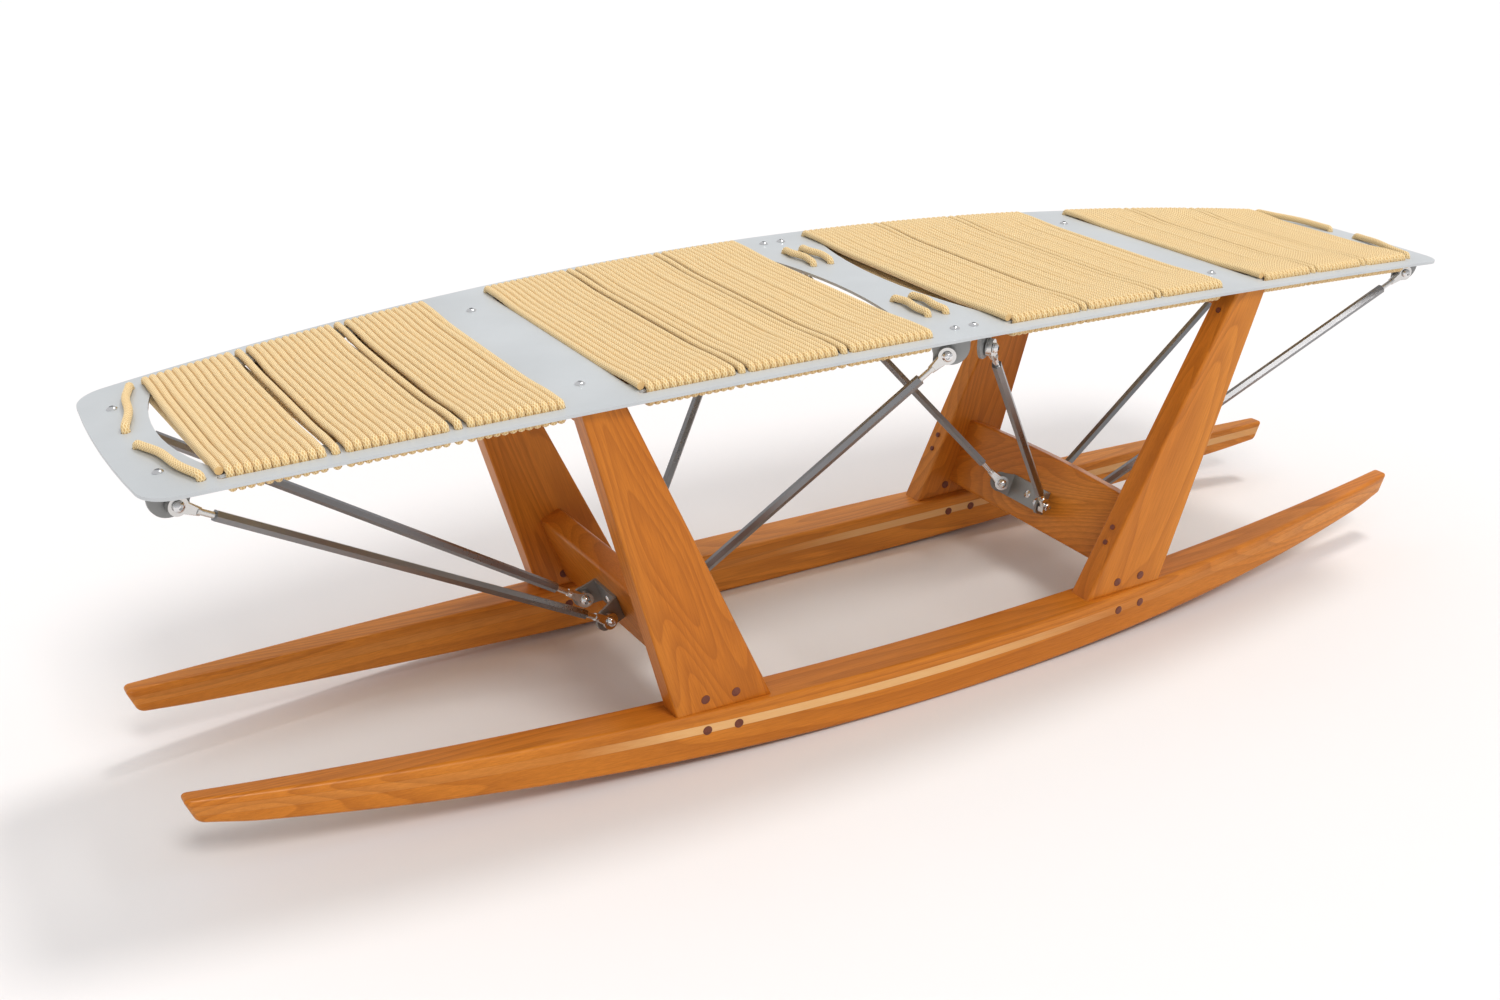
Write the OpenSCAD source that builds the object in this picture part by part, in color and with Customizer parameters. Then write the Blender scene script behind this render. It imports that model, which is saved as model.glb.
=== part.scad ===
// Rocking rope bench in the form of a sled: two laminated runners, four raking legs, a crowned
// aluminium seat plate wound with rope, and eight adjustable struts with spherical rod ends.
// Frame: +X along the length, +Y to the left side, +Z up. The origin is on the floor under the
// middle of the bench.

/* [Seat plate] */
// Overall length of the seat plate
plate_len = 1682; // [1500:2:1840]
// Overall width of the seat plate at its middle
plate_w = 447; // [400:1:500]
// Thickness of the seat plate
plate_t = 3.2; // [2.5:0.1:5]
// Height of the plate's upper face at its middle
seat_h = 441; // [410:1:480]
// Radius of the crown along the length
crown_r = 7900; // [6000:100:12000]
// Radius of the two long sides in plan, shared with the runners
plan_r = 4600; // [4200:50:6000]
// Radius of the two end edges in plan
end_r = 1400; // [900:50:2500]
// Radius of the four rounded corners of the plate
corner_r = 38; // [20:1:50]

/* [Rope] */
// Diameter of the rope
rope_d = 7.8; // [6:0.1:9]
// Turns in each of the three bundles of an end panel
end_turns = 12; // [10:1:12]
// Turns in each of the three bundles of a middle panel
mid_turns = 13; // [10:1:13]
// Distance from the plate's edge to the outside of the rope
rope_rim = 18; // [14:1:24]
// Width of the plain rail between the rope slots and the opening
rail_w = 20; // [16:1:26]
// Distance from the middle of the bench to the first turn of a middle panel
mid_panel_x = 50; // [44:1:58]
// Distance from the plate's end to the last turn of an end panel
end_panel_in = 71; // [64:1:80]
// Half-width of the plain band over the legs
leg_band = 37; // [30:1:44]
// Distance from the middle of the bench to a tie-off stitch on the centre band
stitch_x = 12; // [11:1:14]
// Nearer and farther holes of a centre stitch, measured across the bench
stitch_y1 = 80; // [60:1:90]
// Farther hole of a centre stitch, measured across the bench
stitch_y2 = 143; // [120:1:150]

/* [Runners] */
// Overall length of a runner
runner_len = 1664; // [1500:2:1800]
// Width of the bench over the runners at its middle
runner_span = 404.6; // [360:1:440]
// Width of a runner at its middle
runner_w = 52; // [44:1:60]
// Depth of a runner at its middle
runner_h = 58; // [50:1:66]
// Radius of the rocking underside
rocker_r = 6050; // [5000:50:8000]
// Radius of the runner's upper face
runner_top_r = 12500; // [10000:100:16000]
// Radius of the runner's inner face in plan
runner_in_r = 7700; // [6000:100:9000]
// Radius of the two glue lines
glue_r = 10000; // [8000:100:14000]
// Thickness of the upper cherry layer at the middle
layer_top = 14; // [10:0.5:16]
// Thickness of the pale maple layer
layer_maple = 10.5; // [6:0.5:12]
// How far the tip's lower corner is set back from its upper corner
tip_rake = 15; // [8:1:24]

/* [Legs] */
// Distance from the middle of the bench to the middle of a leg's foot
leg_foot_x = 282.5; // [250:1:320]
// Width of a leg's foot along the bench
leg_foot_w = 117; // [100:1:130]
// Distance from the middle of the bench to the middle of a leg's top
leg_top_x = 425.5; // [390:0.5:450]
// Width of a leg's top along the bench
leg_top_w = 46; // [40:1:60]
// Thickness of a leg
leg_t = 30; // [24:1:34]
// Step from the runner's outer face to the leg's outer face
leg_step = 7; // [4:1:10]
// Outward lean of a leg, in degrees
leg_lean = 1.4; // [0:0.1:3]

/* [Crossbars] */
// Distance from the middle of the bench to the middle of a lower crossbar
bar_x = 307.5; // [296:0.5:316]
// Height of the middle of a lower crossbar
bar_z = 120; // [110:1:130]
// Slope of a lower crossbar from upright, in degrees
bar_slope = 21.3; // [15:0.1:25]
// Thickness of a lower crossbar
bar_t = 29; // [24:1:32]
// Depth of a lower crossbar below its middle
bar_down = 48; // [40:1:52]
// Depth of a lower crossbar above its middle
bar_up = 46; // [40:1:52]
// Rise of the arched upper edge of a lower crossbar
bar_arch = 5; // [2:0.5:10]
// Width of an upper crossbar along the bench
top_bar_w = 32; // [26:1:36]
// Depth of an upper crossbar
top_bar_h = 27; // [22:1:32]

/* [Joinery] */
// Diameter of the walnut plugs in runners and legs
peg_d = 9.5; // [8:0.1:12]
// Diameter of the walnut plugs in the crossbar joints
bar_peg_d = 6.4; // [5:0.1:8]
// Distance of the two plugs in a foot outward from the foot's middle
peg_shift = 6.5; // [4:0.5:9]
// Spacing of the two plugs in a foot
peg_pitch = 37.3; // [30:0.1:44]
// Distance from the foot joint down to the runner plugs
peg_down = 20.4; // [16:0.1:24]
// Distance from the foot joint up to the leg plugs
peg_up = 14.5; // [12:0.5:18]
// Thickness of the loose tenon between leg and runner
tenon_t = 12; // [8:1:14]
// Length of a crossbar tenon
bar_tenon = 22; // [18:1:24]

/* [Struts] */
// Width of the hexagonal strut tube across its flats
tube_af = 10; // [9:0.1:12]
// Diameter of the rod-end ball
ball_d = 12.7; // [11:0.1:14]
// Width of the rod-end ball between its flats
ball_w = 9.5; // [9:0.1:11]
// Diameter of the rod-end eye
eye_d = 19; // [18:0.5:22]
// Width of the rod-end eye
eye_w = 7; // [6:0.1:7.5]
// Distance from the ball's centre to the end of the tube
eye_reach = 38; // [34:1:46]
// Diameter of the bolts and of the threaded shanks
bolt_d = 6.35; // [5:0.05:7]
// Thickness of the tabs and brackets
strap_t = 3; // [2.5:0.1:4]
// Distance from the plate's underside down to a ball
tab_drop = 20.5; // [18:0.5:26]

/* [Fits] */
// Gap where a piece rests on a curved face
seat_gap = 0.05; // [0.03:0.01:0.1]
// Gap between the rope and the plate
rope_gap = 0.3; // [0.2:0.05:0.5]
// Radial running clearance of balls and threads
run_gap = 0.06; // [0.03:0.01:0.1]
// Radial clearance of a screw in its hole through the plate
hole_gap = 0.2; // [0.1:0.05:0.4]

/* [Hidden] */

// Colours
cherry = [0.72, 0.40, 0.17];
maple = [0.90, 0.70, 0.46];
walnut = [0.33, 0.18, 0.12];
satin_metal = [0.74, 0.77, 0.79];
grey_metal = [0.50, 0.52, 0.53];
bright_metal = [0.85, 0.86, 0.88];
straw = [0.88, 0.75, 0.52];

// Facets of the plan arcs and of small round parts
FINE = 1440;
ROUND = 48;
half_len = plate_len / 2;
// Each long arc in side view is cut into this many flats on either side of the middle
FLATS = 44;
arc_over = 50;
sky = seat_h + 300;
// Angle of one flat of an arc of radius r
function flat_angle(r) = asin((half_len + arc_over) / r) / FLATS;

// Crown of the plate: height of a concentric arc at a given place along the bench
function arc_z(x, r) = seat_h - crown_r + sqrt(r * r - x * x);
function top_z(x) = arc_z(x, crown_r);
function under_z(x) = arc_z(x, crown_r - plate_t);
function crown_tilt(x) = asin(x / crown_r);
// Half-width of a concentric plan outline, set in by a given distance
function half_w(x, inset) = plate_w / 2 - plan_r + sqrt(pow(plan_r - inset, 2) - x * x);
// Plan slope of the long sides, in degrees
function side_turn(x) = asin(x / plan_r);
function unit(v) = v / norm(v);

// Middle of the rope slots, measured in from the plate's edge
slot_w = rope_d + 1;
slot_in = rope_rim + slot_w / 2;
open_in = rope_rim + slot_w + rail_w;

// Panels along the bench: start, end and turns per bundle
band_shift = 5.5;
mid_panel = [mid_panel_x, leg_top_x - band_shift - leg_band, mid_turns];
end_panel = [leg_top_x - band_shift + leg_band, half_len - end_panel_in, end_turns];
function panel_gap(p) = (p[1] - p[0] - (3 * p[2] + 2) * rope_d) / 4;
// The five slots of a panel as [middle, length]
function panel_slots(p) = let (b = p[2] * rope_d, g = panel_gap(p), s = rope_d)
    [[p[0] + b / 2, b],
     [p[0] + b + g + s / 2, s],
     [p[0] + 1.5 * b + 2 * g + s, b],
     [p[0] + 2 * b + 3 * g + 1.5 * s, s],
     [p[0] + 2.5 * b + 4 * g + 2 * s, b]];
// Bow of the opening's ends: sagitta at the end panel and at the centre band
end_bow_r = 296;
centre_bow_r = 572;
bow_over = 18;
centre_bow_over = 20;
open_corner_r = 14;

// Tie-off stitches at the plate's ends: outer and inner holes
end_stitch_a = [half_len - 59, half_w(half_len - 59, 25)];
end_stitch_b = [half_len - 30, 22];
stitch_hole = rope_d + 1.2;

// Screw places
end_screw = [half_len - 32, 89.5];
leg_screw = [leg_top_x - band_shift, 133.5];
centre_screw = [12.5, half_w(12.5, 33)];
screw_d = 6;
screw_head_d = 10.5;
screw_head_h = 3;
screw_socket = 4;
leg_screw_len = 24;
tab_screw_len = 9;

// Bolt stack at a ball: ball, strap, nut
strap_off = ball_w / 2 + strap_t / 2;
nut_af = 10;
nut_t = 5;
bolt_head_d = 11;
bolt_head_h = 4.2;
bolt_tail = 1.5;

// Balls at the plate: on the end tabs and on the centre tabs
end_ball_x = half_len - 39;
centre_ball_x = 29;
function plate_ball(kind, sx, sy) = kind == "end"
    ? [sx * end_ball_x, sy * half_w(end_ball_x, 36.5), under_z(end_ball_x) - tab_drop]
    : [sx * centre_ball_x, sy * half_w(centre_ball_x, 22), under_z(centre_ball_x) - tab_drop];

// Axes of a lower crossbar: up its slope and out of its outer face
function bar_axis(sx) = [sx * sin(bar_slope), 0, cos(bar_slope)];
function bar_out(sx) = [sx * cos(bar_slope), 0, -sin(bar_slope)];
function bar_mid(sx) = [sx * bar_x, 0, bar_z];
// Balls at the crossbar: stand-off from the face, offset across the bench, height on the bar
outer_ball = [21.4, 30.4, -0.3];
inner_ball = [19.3, 42.5, -12];
function bar_ball(kind, sx, sy) = kind == "end"
    ? bar_mid(sx) + bar_out(sx) * (bar_t / 2 + outer_ball[0]) + [0, sy * outer_ball[1], 0]
        + bar_axis(sx) * outer_ball[2]
    : bar_mid(sx) - bar_out(sx) * (bar_t / 2 + inner_ball[0]) + [0, sy * inner_ball[1], 0]
        + bar_axis(sx) * inner_ball[2];

// Strut direction from the crossbar up to the plate, and its two bolt axes
function strut_dir(kind, sx, sy) = unit(plate_ball(kind, sx, sy) - bar_ball(kind, sx, sy));
function strut_len(kind) = norm(plate_ball(kind, 1, 1) - bar_ball(kind, 1, 1));
function plate_bolt(kind, sx, sy) = let (d = strut_dir(kind, sx, sy), h = unit([-d[1], d[0], 0]))
    h * (h[1] * sy > 0 ? 1 : -1);
function bar_bolt(kind, sx, sy) = let (m = unit(cross(strut_dir(kind, sx, sy), bar_axis(sx))))
    m * (m[1] > 0 ? -1 : 1);

// Rod-end shape
neck_start = 6;
neck_end = 23;
neck_r1 = 6.4;
neck_r2 = 4.2;
shank_in_tube = 18;
// Reach of the eye's flat sides along the neck, past the edge of a tab
flat_reach = 19;

// Runner and leg places
runner_out_y = runner_span / 2;
function runner_top_z(x) = runner_h + runner_top_r - sqrt(pow(runner_top_r, 2) - x * x);
function runner_out(x) = runner_out_y - plan_r + sqrt(plan_r * plan_r - x * x);
function runner_in(x) = runner_out_y - runner_w - runner_in_r
    + sqrt(runner_in_r * runner_in_r - x * x);
foot_z = runner_top_z(leg_foot_x);
leg_out_y = runner_out(leg_foot_x) - leg_step;
leg_mid_y = leg_out_y - leg_t / 2;
leg_rise = top_z(leg_top_x) - foot_z;
leg_edge_out = (leg_top_x + leg_top_w / 2 - leg_foot_x - leg_foot_w / 2) / leg_rise;
leg_edge_in = (leg_top_x - leg_top_w / 2 - leg_foot_x + leg_foot_w / 2) / leg_rise;
function leg_in_x(z) = leg_foot_x - leg_foot_w / 2 + leg_edge_in * (z - foot_z);
leg_over = 40;
tenon_w = peg_pitch + 34;
tenon_up = 30;
tenon_down = 34;
joint_gap = 0.1;

// Places a child on one of the four quarters of the bench
module quarter(sx, sy) {
    if (sx > 0 && sy > 0) children();
    else if (sx > 0) mirror([0, 1, 0]) children();
    else if (sy > 0) mirror([1, 0, 0]) children();
    else rotate([0, 0, 180]) children();
}

// Repeats a child on all four quarters
module all_quarters() {
    for (sx = [1, -1], sy = [1, -1]) quarter(sx, sy) children();
}

// Local frame at a point, from its x and z axes
module frame_at(o, x, z) {
    y = cross(z, x);
    multmatrix([[x[0], y[0], z[0], o[0]],
                [x[1], y[1], z[1], o[1]],
                [x[2], y[2], z[2], o[2]],
                [0, 0, 0, 1]]) children();
}

// Solid under the crown's arc of radius r, across the whole bench
module crown_drum(r) {
    a = flat_angle(crown_r);
    reach = half_len + 2 * arc_over;
    rotate([90, 0, 0]) linear_extrude(height = 2 * plate_w, center = true) polygon(concat(
        [for (i = [-FLATS:FLATS]) [r * sin(i * a), seat_h - crown_r + r * cos(i * a)]],
        [[reach, -2 * arc_over], [-reach, -2 * arc_over]]));
}

// Upright prism of a plan shape, tall enough for any part of the bench
module upright() {
    translate([0, 0, -100]) linear_extrude(height = seat_h + 200) children();
}

// Plan region between the two long sides, set in by a distance
module side_band(inset) {
    intersection() {
        translate([0, plan_r - plate_w / 2]) circle(r = plan_r - inset, $fn = FINE);
        translate([0, plate_w / 2 - plan_r]) circle(r = plan_r - inset, $fn = FINE);
    }
}

// Centre of a fillet of radius r inside a long side (set in) and inside an end arc
// of radius re centred at cx on the middle line
function fillet_centre(inset, cx, re, r) = let (
        a = plan_r - inset - r,
        b = re - r,
        oy = plate_w / 2 - plan_r,
        d = norm([cx, oy]),
        along = (a * a - b * b + d * d) / (2 * d),
        off = sqrt(a * a - along * along),
        ux = cx / d,
        uy = -oy / d)
    [ux * along + uy * off, oy + uy * along - ux * off];

// Wedge that takes the sharp corner off before its round is put in
module corner_wedge(c, inset, cx, re, r) {
    side_c = [0, plate_w / 2 - plan_r];
    end_c = [cx, 0];
    t1 = side_c + unit(c - side_c) * (plan_r - inset);
    t2 = end_c + unit(c - end_c) * re;
    far = c + (t1 - c) + (t2 - c);
    polygon([c, t1, c + (far - c) * 1.6, t2]);
}

// Plan region with one rounded, bowed end toward +X
module bowed_region(inset, cx, re, r) {
    c = fillet_centre(inset, cx, re, r);
    difference() {
        intersection() {
            side_band(inset);
            translate([cx, 0]) circle(r = re, $fn = FINE);
        }
        corner_wedge(c, inset, cx, re, r);
        mirror([0, 1]) corner_wedge(c, inset, cx, re, r);
    }
    for (s = [1, -1]) translate([c[0], s * c[1]]) circle(r = r, $fn = ROUND);
}

// Plan outline of the whole plate
module plate_outline() {
    intersection() {
        bowed_region(0, half_len - end_r, end_r, corner_r);
        mirror([1, 0]) bowed_region(0, half_len - end_r, end_r, corner_r);
    }
}

// Opening of the end panel toward +X
module end_opening() {
    intersection() {
        bowed_region(open_in, end_panel[1] + bow_over - end_bow_r, end_bow_r, open_corner_r);
        translate([end_panel[0], -plate_w / 2]) square([half_len, plate_w]);
    }
}

// Opening of the middle panel toward +X
module middle_opening() {
    intersection() {
        side_band(open_in);
        translate([mid_panel_x - centre_bow_over + centre_bow_r, 0])
            circle(r = centre_bow_r, $fn = FINE);
        translate([0, -plate_w / 2]) square([mid_panel[1], plate_w]);
    }
}

// One straight slot with round ends, along the plate's long side
module slot(x, len, grow) {
    w = slot_w + 2 * grow;
    l = len + 1 + 2 * grow;
    translate([x, half_w(x, slot_in)]) rotate(-side_turn(x)) {
        if (l > w) square([l - w, w], center = true);
        if (l > w) for (s = [1, -1]) translate([s * (l - w) / 2, 0]) circle(d = w, $fn = ROUND);
        else circle(d = w, $fn = ROUND);
    }
}

// All the rope slots of a panel on both sides
module panel_slots_cut(p, grow) {
    for (s = panel_slots(p)) {
        slot(s[0], s[1], grow);
        mirror([0, 1]) slot(s[0], s[1], grow);
    }
}

// Holes for screws and stitches on one quarter of the plate
module quarter_holes() {
    for (s = [end_screw, leg_screw, centre_screw])
        translate(s) circle(d = screw_d + 2 * hole_gap, $fn = ROUND);
    for (s = [end_stitch_a, end_stitch_b, [stitch_x, stitch_y1], [stitch_x, stitch_y2]])
        translate(s) circle(d = stitch_hole, $fn = ROUND);
}

module seat_plate() {
    color(satin_metal) difference() {
        intersection() {
            crown_drum(crown_r);
            upright() plate_outline();
        }
        crown_drum(crown_r - plate_t);
        upright() {
            end_opening();
            middle_opening();
            mirror([1, 0]) end_opening();
            mirror([1, 0]) middle_opening();
        }
        upright() {
            panel_slots_cut(end_panel, 0);
            panel_slots_cut(mid_panel, 0);
            mirror([1, 0]) panel_slots_cut(end_panel, 0);
            mirror([1, 0]) panel_slots_cut(mid_panel, 0);
        }
        all_quarters() upright() quarter_holes();
    }
}

// One wound panel: upper and lower layers joined through the slots
module rope_panel(p) {
    color(straw) {
        rope_layer(p, crown_r + rope_gap);
        rope_layer(p, crown_r - plate_t - rope_gap - rope_d);
        intersection() {
            difference() {
                crown_drum(crown_r + rope_gap + rope_d / 2);
                crown_drum(crown_r - plate_t - rope_gap - rope_d / 2);
            }
            upright() panel_slots_cut(p, -rope_gap);
        }
    }
}

// A layer of rope one diameter thick over a panel
module rope_layer(p, r) {
    difference() {
        intersection() {
            crown_drum(r + rope_d);
            upright() intersection() {
                side_band(rope_rim);
                translate([p[0], -plate_w / 2]) square([p[1] - p[0], plate_w]);
            }
        }
        crown_drum(r);
    }
}

// A stitch of rope over the plate between two holes, with its ends below
module rope_stitch(a, b) {
    up = rope_gap + rope_d / 2;
    za = top_z(a[0]) + up;
    zb = top_z(b[0]) + up;
    run = [b[0] - a[0], b[1] - a[1], zb - za];
    color(straw) {
        stitch_end(a, za);
        stitch_end(b, zb);
        frame_at([a[0], a[1], za], unit(cross([0, 0, 1], run)), unit(run))
            translate([0, 0, -rope_d / 2])
                cylinder(d = rope_d, h = norm(run) + rope_d, $fn = ROUND);
    }
}

// Upright end of a stitch, through its hole
module stitch_end(at, top) {
    low = under_z(at[0]) - rope_d;
    translate([at[0], at[1], low]) cylinder(d = rope_d - 0.8, h = top - low, $fn = ROUND);
}

module rope_stitches() {
    all_quarters() {
        rope_stitch(end_stitch_a, end_stitch_b);
        rope_stitch([stitch_x, stitch_y1], [stitch_x, stitch_y2]);
    }
}

// Solid above a hollow arc whose lowest line is at a given height over the middle
module dip_drum(r, low) {
    a = flat_angle(r);
    reach = half_len + 2 * arc_over;
    rotate([90, 0, 0]) linear_extrude(height = 2 * plate_w, center = true) polygon(concat(
        [for (i = [-FLATS:FLATS]) [r * sin(i * a), low + r - r * cos(i * a)]],
        [[reach, sky], [-reach, sky]]));
}

// Solid above one of the runner's four long faces: 0 is the top and 3 the underside
module above_face(k) {
    if (k == 0) dip_drum(runner_top_r, runner_h);
    if (k == 1) dip_drum(glue_r, runner_h - layer_top);
    if (k == 2) dip_drum(glue_r + layer_maple, runner_h - layer_top - layer_maple);
    if (k == 3) dip_drum(rocker_r, 0);
}

// Plan of the left runner
module runner_plan() {
    a = flat_angle(runner_in_r);
    c = runner_out_y - runner_w - runner_in_r;
    intersection() {
        translate([0, runner_out_y - plan_r]) circle(r = plan_r, $fn = FINE);
        polygon(concat(
            [for (i = [-FLATS:FLATS]) [runner_in_r * sin(i * a), c + runner_in_r * cos(i * a)]],
            [[half_len + 2 * arc_over, sky], [-half_len - 2 * arc_over, sky]]));
    }
}

// One glued layer of the left runner, 0 at the top and 2 at the bottom
module runner_layer(k) {
    difference() {
        intersection() {
            above_face(k + 1);
            upright() runner_plan();
            runner_tips();
        }
        above_face(k);
        for (sx = [1, -1]) loose_tenon(sx, joint_gap);
        for (sx = [1, -1]) runner_plug_rods(sx, joint_gap);
    }
}

// Side outline with raked tips, a little taller than the runner
module runner_tips() {
    half = runner_len / 2;
    top = runner_top_z(half);
    low = top - 30;
    slope = tip_rake / 30;
    rotate([90, 0, 0]) linear_extrude(height = 2 * plate_w, center = true)
        polygon([[-half - 40 * slope, top + 40], [-half + (top - low + 60) * slope, low - 60],
                 [half - (top - low + 60) * slope, low - 60], [half + 40 * slope, top + 40]]);
}

// Loose tenon between leg and runner, on the left side
module loose_tenon(sx, grow) {
    translate([sx * leg_foot_x, leg_mid_y, foot_z + (tenon_up - tenon_down) / 2])
        cube([tenon_w + 2 * grow, tenon_t + 2 * grow, tenon_up + tenon_down + 2 * grow],
             center = true);
}

// Place of a foot plug along the bench
function peg_x(sx, s) = sx * (leg_foot_x + peg_shift) + s * peg_pitch / 2;

// Two rods across the runner under a foot, on the left side
module runner_plug_rods(sx, grow) {
    for (s = [1, -1])
        translate([peg_x(sx, s), 0, runner_top_z(peg_x(sx, s)) - peg_down]) rotate([-90, 0, 0])
            cylinder(d = peg_d + 2 * grow, h = plate_w, $fn = ROUND);
}

// The same rods trimmed flush with the runner's faces
module runner_plug_set(sx) {
    intersection() {
        upright() runner_plan();
        runner_plug_rods(sx, 0);
    }
}

// Two plugs across a leg above the foot, square to its face, on the left side
module leg_plug_set(sx, grow) {
    translate([0, leg_out_y, foot_z]) rotate([-leg_lean, 0, 0]) for (s = [1, -1])
        translate([peg_x(sx, s), -leg_t - grow, runner_top_z(peg_x(sx, s)) + peg_up - foot_z])
            rotate([-90, 0, 0]) cylinder(d = peg_d + 2 * grow, h = leg_t + 2 * grow, $fn = ROUND);
}

// Leg blank in side view, from below the foot to above the plate
module leg_shape() {
    polygon([
        [leg_foot_x - leg_foot_w / 2 - leg_edge_in * leg_over, foot_z - leg_over],
        [leg_foot_x + leg_foot_w / 2 - leg_edge_out * leg_over, foot_z - leg_over],
        [leg_foot_x + leg_foot_w / 2 + leg_edge_out * (leg_rise + leg_over),
         foot_z + leg_rise + leg_over],
        [leg_foot_x - leg_foot_w / 2 + leg_edge_in * (leg_rise + leg_over),
         foot_z + leg_rise + leg_over]]);
}

// Leaning slab that a front left leg is cut from, grown by a distance across the bench
module leg_slab(grow) {
    translate([0, leg_out_y, foot_z]) rotate([-leg_lean, 0, 0]) translate([0, grow, -foot_z])
        rotate([90, 0, 0]) linear_extrude(height = leg_t + 2 * grow) leg_shape();
}

module leg(sx, sy) {
    color(cherry) quarter(sx, sy) difference() {
        intersection() {
            leg_slab(0);
            crown_drum(crown_r - plate_t - seat_gap);
            dip_drum(runner_top_r - seat_gap, runner_h + seat_gap);
        }
        loose_tenon(1, joint_gap);
        leg_plug_set(1, joint_gap);
        bar_tenon_block(joint_gap);
        top_bar_tenon_block(joint_gap);
        crossbar_plug_set(joint_gap);
    }
}

// Front lower crossbar outline in its own plane, with its arched upper edge
module bar_face(half) {
    r = (half * half + bar_arch * bar_arch) / (2 * bar_arch);
    intersection() {
        translate([-half, -bar_down]) square([2 * half, bar_down + bar_up]);
        translate([0, bar_up - r]) circle(r = r, $fn = 360);
    }
}

// Places a child flat in the plane of a front lower crossbar
module in_bar() {
    frame_at(bar_mid(1), [0, 1, 0], bar_out(1)) children();
}

// Half the room between the legs at the height of a lower crossbar
bar_half = leg_out_y - leg_t;
bar_tenon_t = 12;
// Depth of the tenon below and above the bar's middle; it stays over the loose tenon
tenon_clear = 2;
tenon_room = (bar_z - foot_z - tenon_up - tenon_clear) / cos(bar_slope)
    - bar_tenon_t / 2 * tan(bar_slope);
tenon_face = [min(bar_down - 12, tenon_room), bar_up - 16];
// Middle of a leaning leg across the bench, at a given height
function leg_mid_at(z) = leg_mid_y + tan(leg_lean) * (z - foot_z);

// Tenon of the front lower crossbar on the left side
module bar_tenon_block(grow) {
    in_bar() translate([bar_half - 4, -tenon_face[0] - grow, -bar_tenon_t / 2 - grow])
        cube([bar_tenon + 4 + grow, tenon_face[0] + tenon_face[1] + 2 * grow,
              bar_tenon_t + 2 * grow]);
}

// Front lower crossbar with a tenon at each end
module front_lower_bar() {
    difference() {
        union() {
            difference() {
                in_bar() translate([0, 0, -bar_t / 2]) linear_extrude(height = bar_t)
                    bar_face(bar_half + 6);
                leg_slab(joint_gap);
                mirror([0, 1, 0]) leg_slab(joint_gap);
            }
            bar_tenon_block(0);
            mirror([0, 1, 0]) bar_tenon_block(0);
        }
        crossbar_plug_set(joint_gap);
        mirror([0, 1, 0]) crossbar_plug_set(joint_gap);
        for (kind = ["end", "centre"]) bracket_screw_hole(kind);
    }
}

module lower_crossbar(sx) {
    color(cherry) quarter(sx, 1) front_lower_bar();
}

// Tenon of the front upper crossbar on the left side
module top_bar_tenon_block(grow) {
    h = top_bar_h - 12;
    z = top_bar_low() + 4;
    translate([leg_screw[0] - 6 - grow, bar_half - 4, z - grow])
        cube([12 + 2 * grow, bar_tenon + top_lean() + 4 + grow, h + 2 * grow]);
}

function top_bar_low() = under_z(leg_screw[0]) - top_bar_h;
// How far a leg has leaned outward at the height of the upper crossbar
function top_lean() = leg_mid_at(top_bar_low()) - leg_mid_y;

// Front upper crossbar, fitted under the plate, with a tenon at each end
module front_upper_bar() {
    difference() {
        union() {
            difference() {
                intersection() {
                    translate([leg_screw[0] - top_bar_w / 2, -bar_half - 12, top_bar_low()])
                        cube([top_bar_w, 2 * bar_half + 24, top_bar_h + 10]);
                    crown_drum(crown_r - plate_t - seat_gap);
                }
                leg_slab(joint_gap);
                mirror([0, 1, 0]) leg_slab(joint_gap);
            }
            top_bar_tenon_block(0);
            mirror([0, 1, 0]) top_bar_tenon_block(0);
        }
        crossbar_plug_set(joint_gap);
        mirror([0, 1, 0]) crossbar_plug_set(joint_gap);
        for (s = [1, -1]) plate_screw_hole([leg_screw[0], s * leg_screw[1]], leg_screw_len + 1);
    }
}

module upper_crossbar(sx) {
    color(cherry) quarter(sx, 1) front_upper_bar();
}

// Plugs driven in from the narrow inboard edge of the front left leg
plug_heights = [127, 145];
plug_len = 52;
top_plug_len = 34;
module crossbar_plug_set(grow) {
    z_top = top_bar_low() + 4 + (top_bar_h - 12) / 2;
    for (z = plug_heights)
        translate([leg_in_x(z) + 1.5, leg_mid_at(z), z]) rotate([0, 90, 0])
            cylinder(d = bar_peg_d + 2 * grow, h = plug_len, $fn = ROUND);
    translate([leg_in_x(z_top) + 1.5, leg_mid_at(z_top), z_top]) rotate([0, 90, 0])
        cylinder(d = bar_peg_d - 2 + 2 * grow, h = top_plug_len, $fn = ROUND);
}

module floating_tenons() {
    color(walnut) for (sx = [1, -1], sy = [1, -1]) quarter(1, sy) difference() {
        loose_tenon(sx, 0);
        runner_plug_rods(sx, joint_gap);
        leg_plug_set(sx, joint_gap);
    }
}

module runner_plugs() {
    color(walnut) for (sx = [1, -1], sy = [1, -1]) quarter(1, sy) runner_plug_set(sx);
}

module leg_plugs() {
    color(walnut) for (sx = [1, -1], sy = [1, -1]) quarter(1, sy) leg_plug_set(sx, 0);
}

module crossbar_plugs() {
    color(walnut) all_quarters() crossbar_plug_set(0);
}

// Strap bracket on a face of the front lower crossbar
strap_h = 30;
ear_r = 13;
ear_neck = ear_r - 0.5;
// Turns a hole's seam line away from the strap's own edges
seam_turn = 17;
function bracket_sign(kind) = kind == "end" ? 1 : -1;
// Frame of a bracket: its face normal, and the ball's place in it
function bracket_out(kind) = bar_out(1) * bracket_sign(kind);
function bracket_ball(kind) = kind == "end" ? outer_ball : inner_ball;
function bracket_face(kind) = bar_mid(1) + bracket_out(kind) * (bar_t / 2 + seat_gap)
    + bar_axis(1) * bracket_ball(kind)[2];
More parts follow.
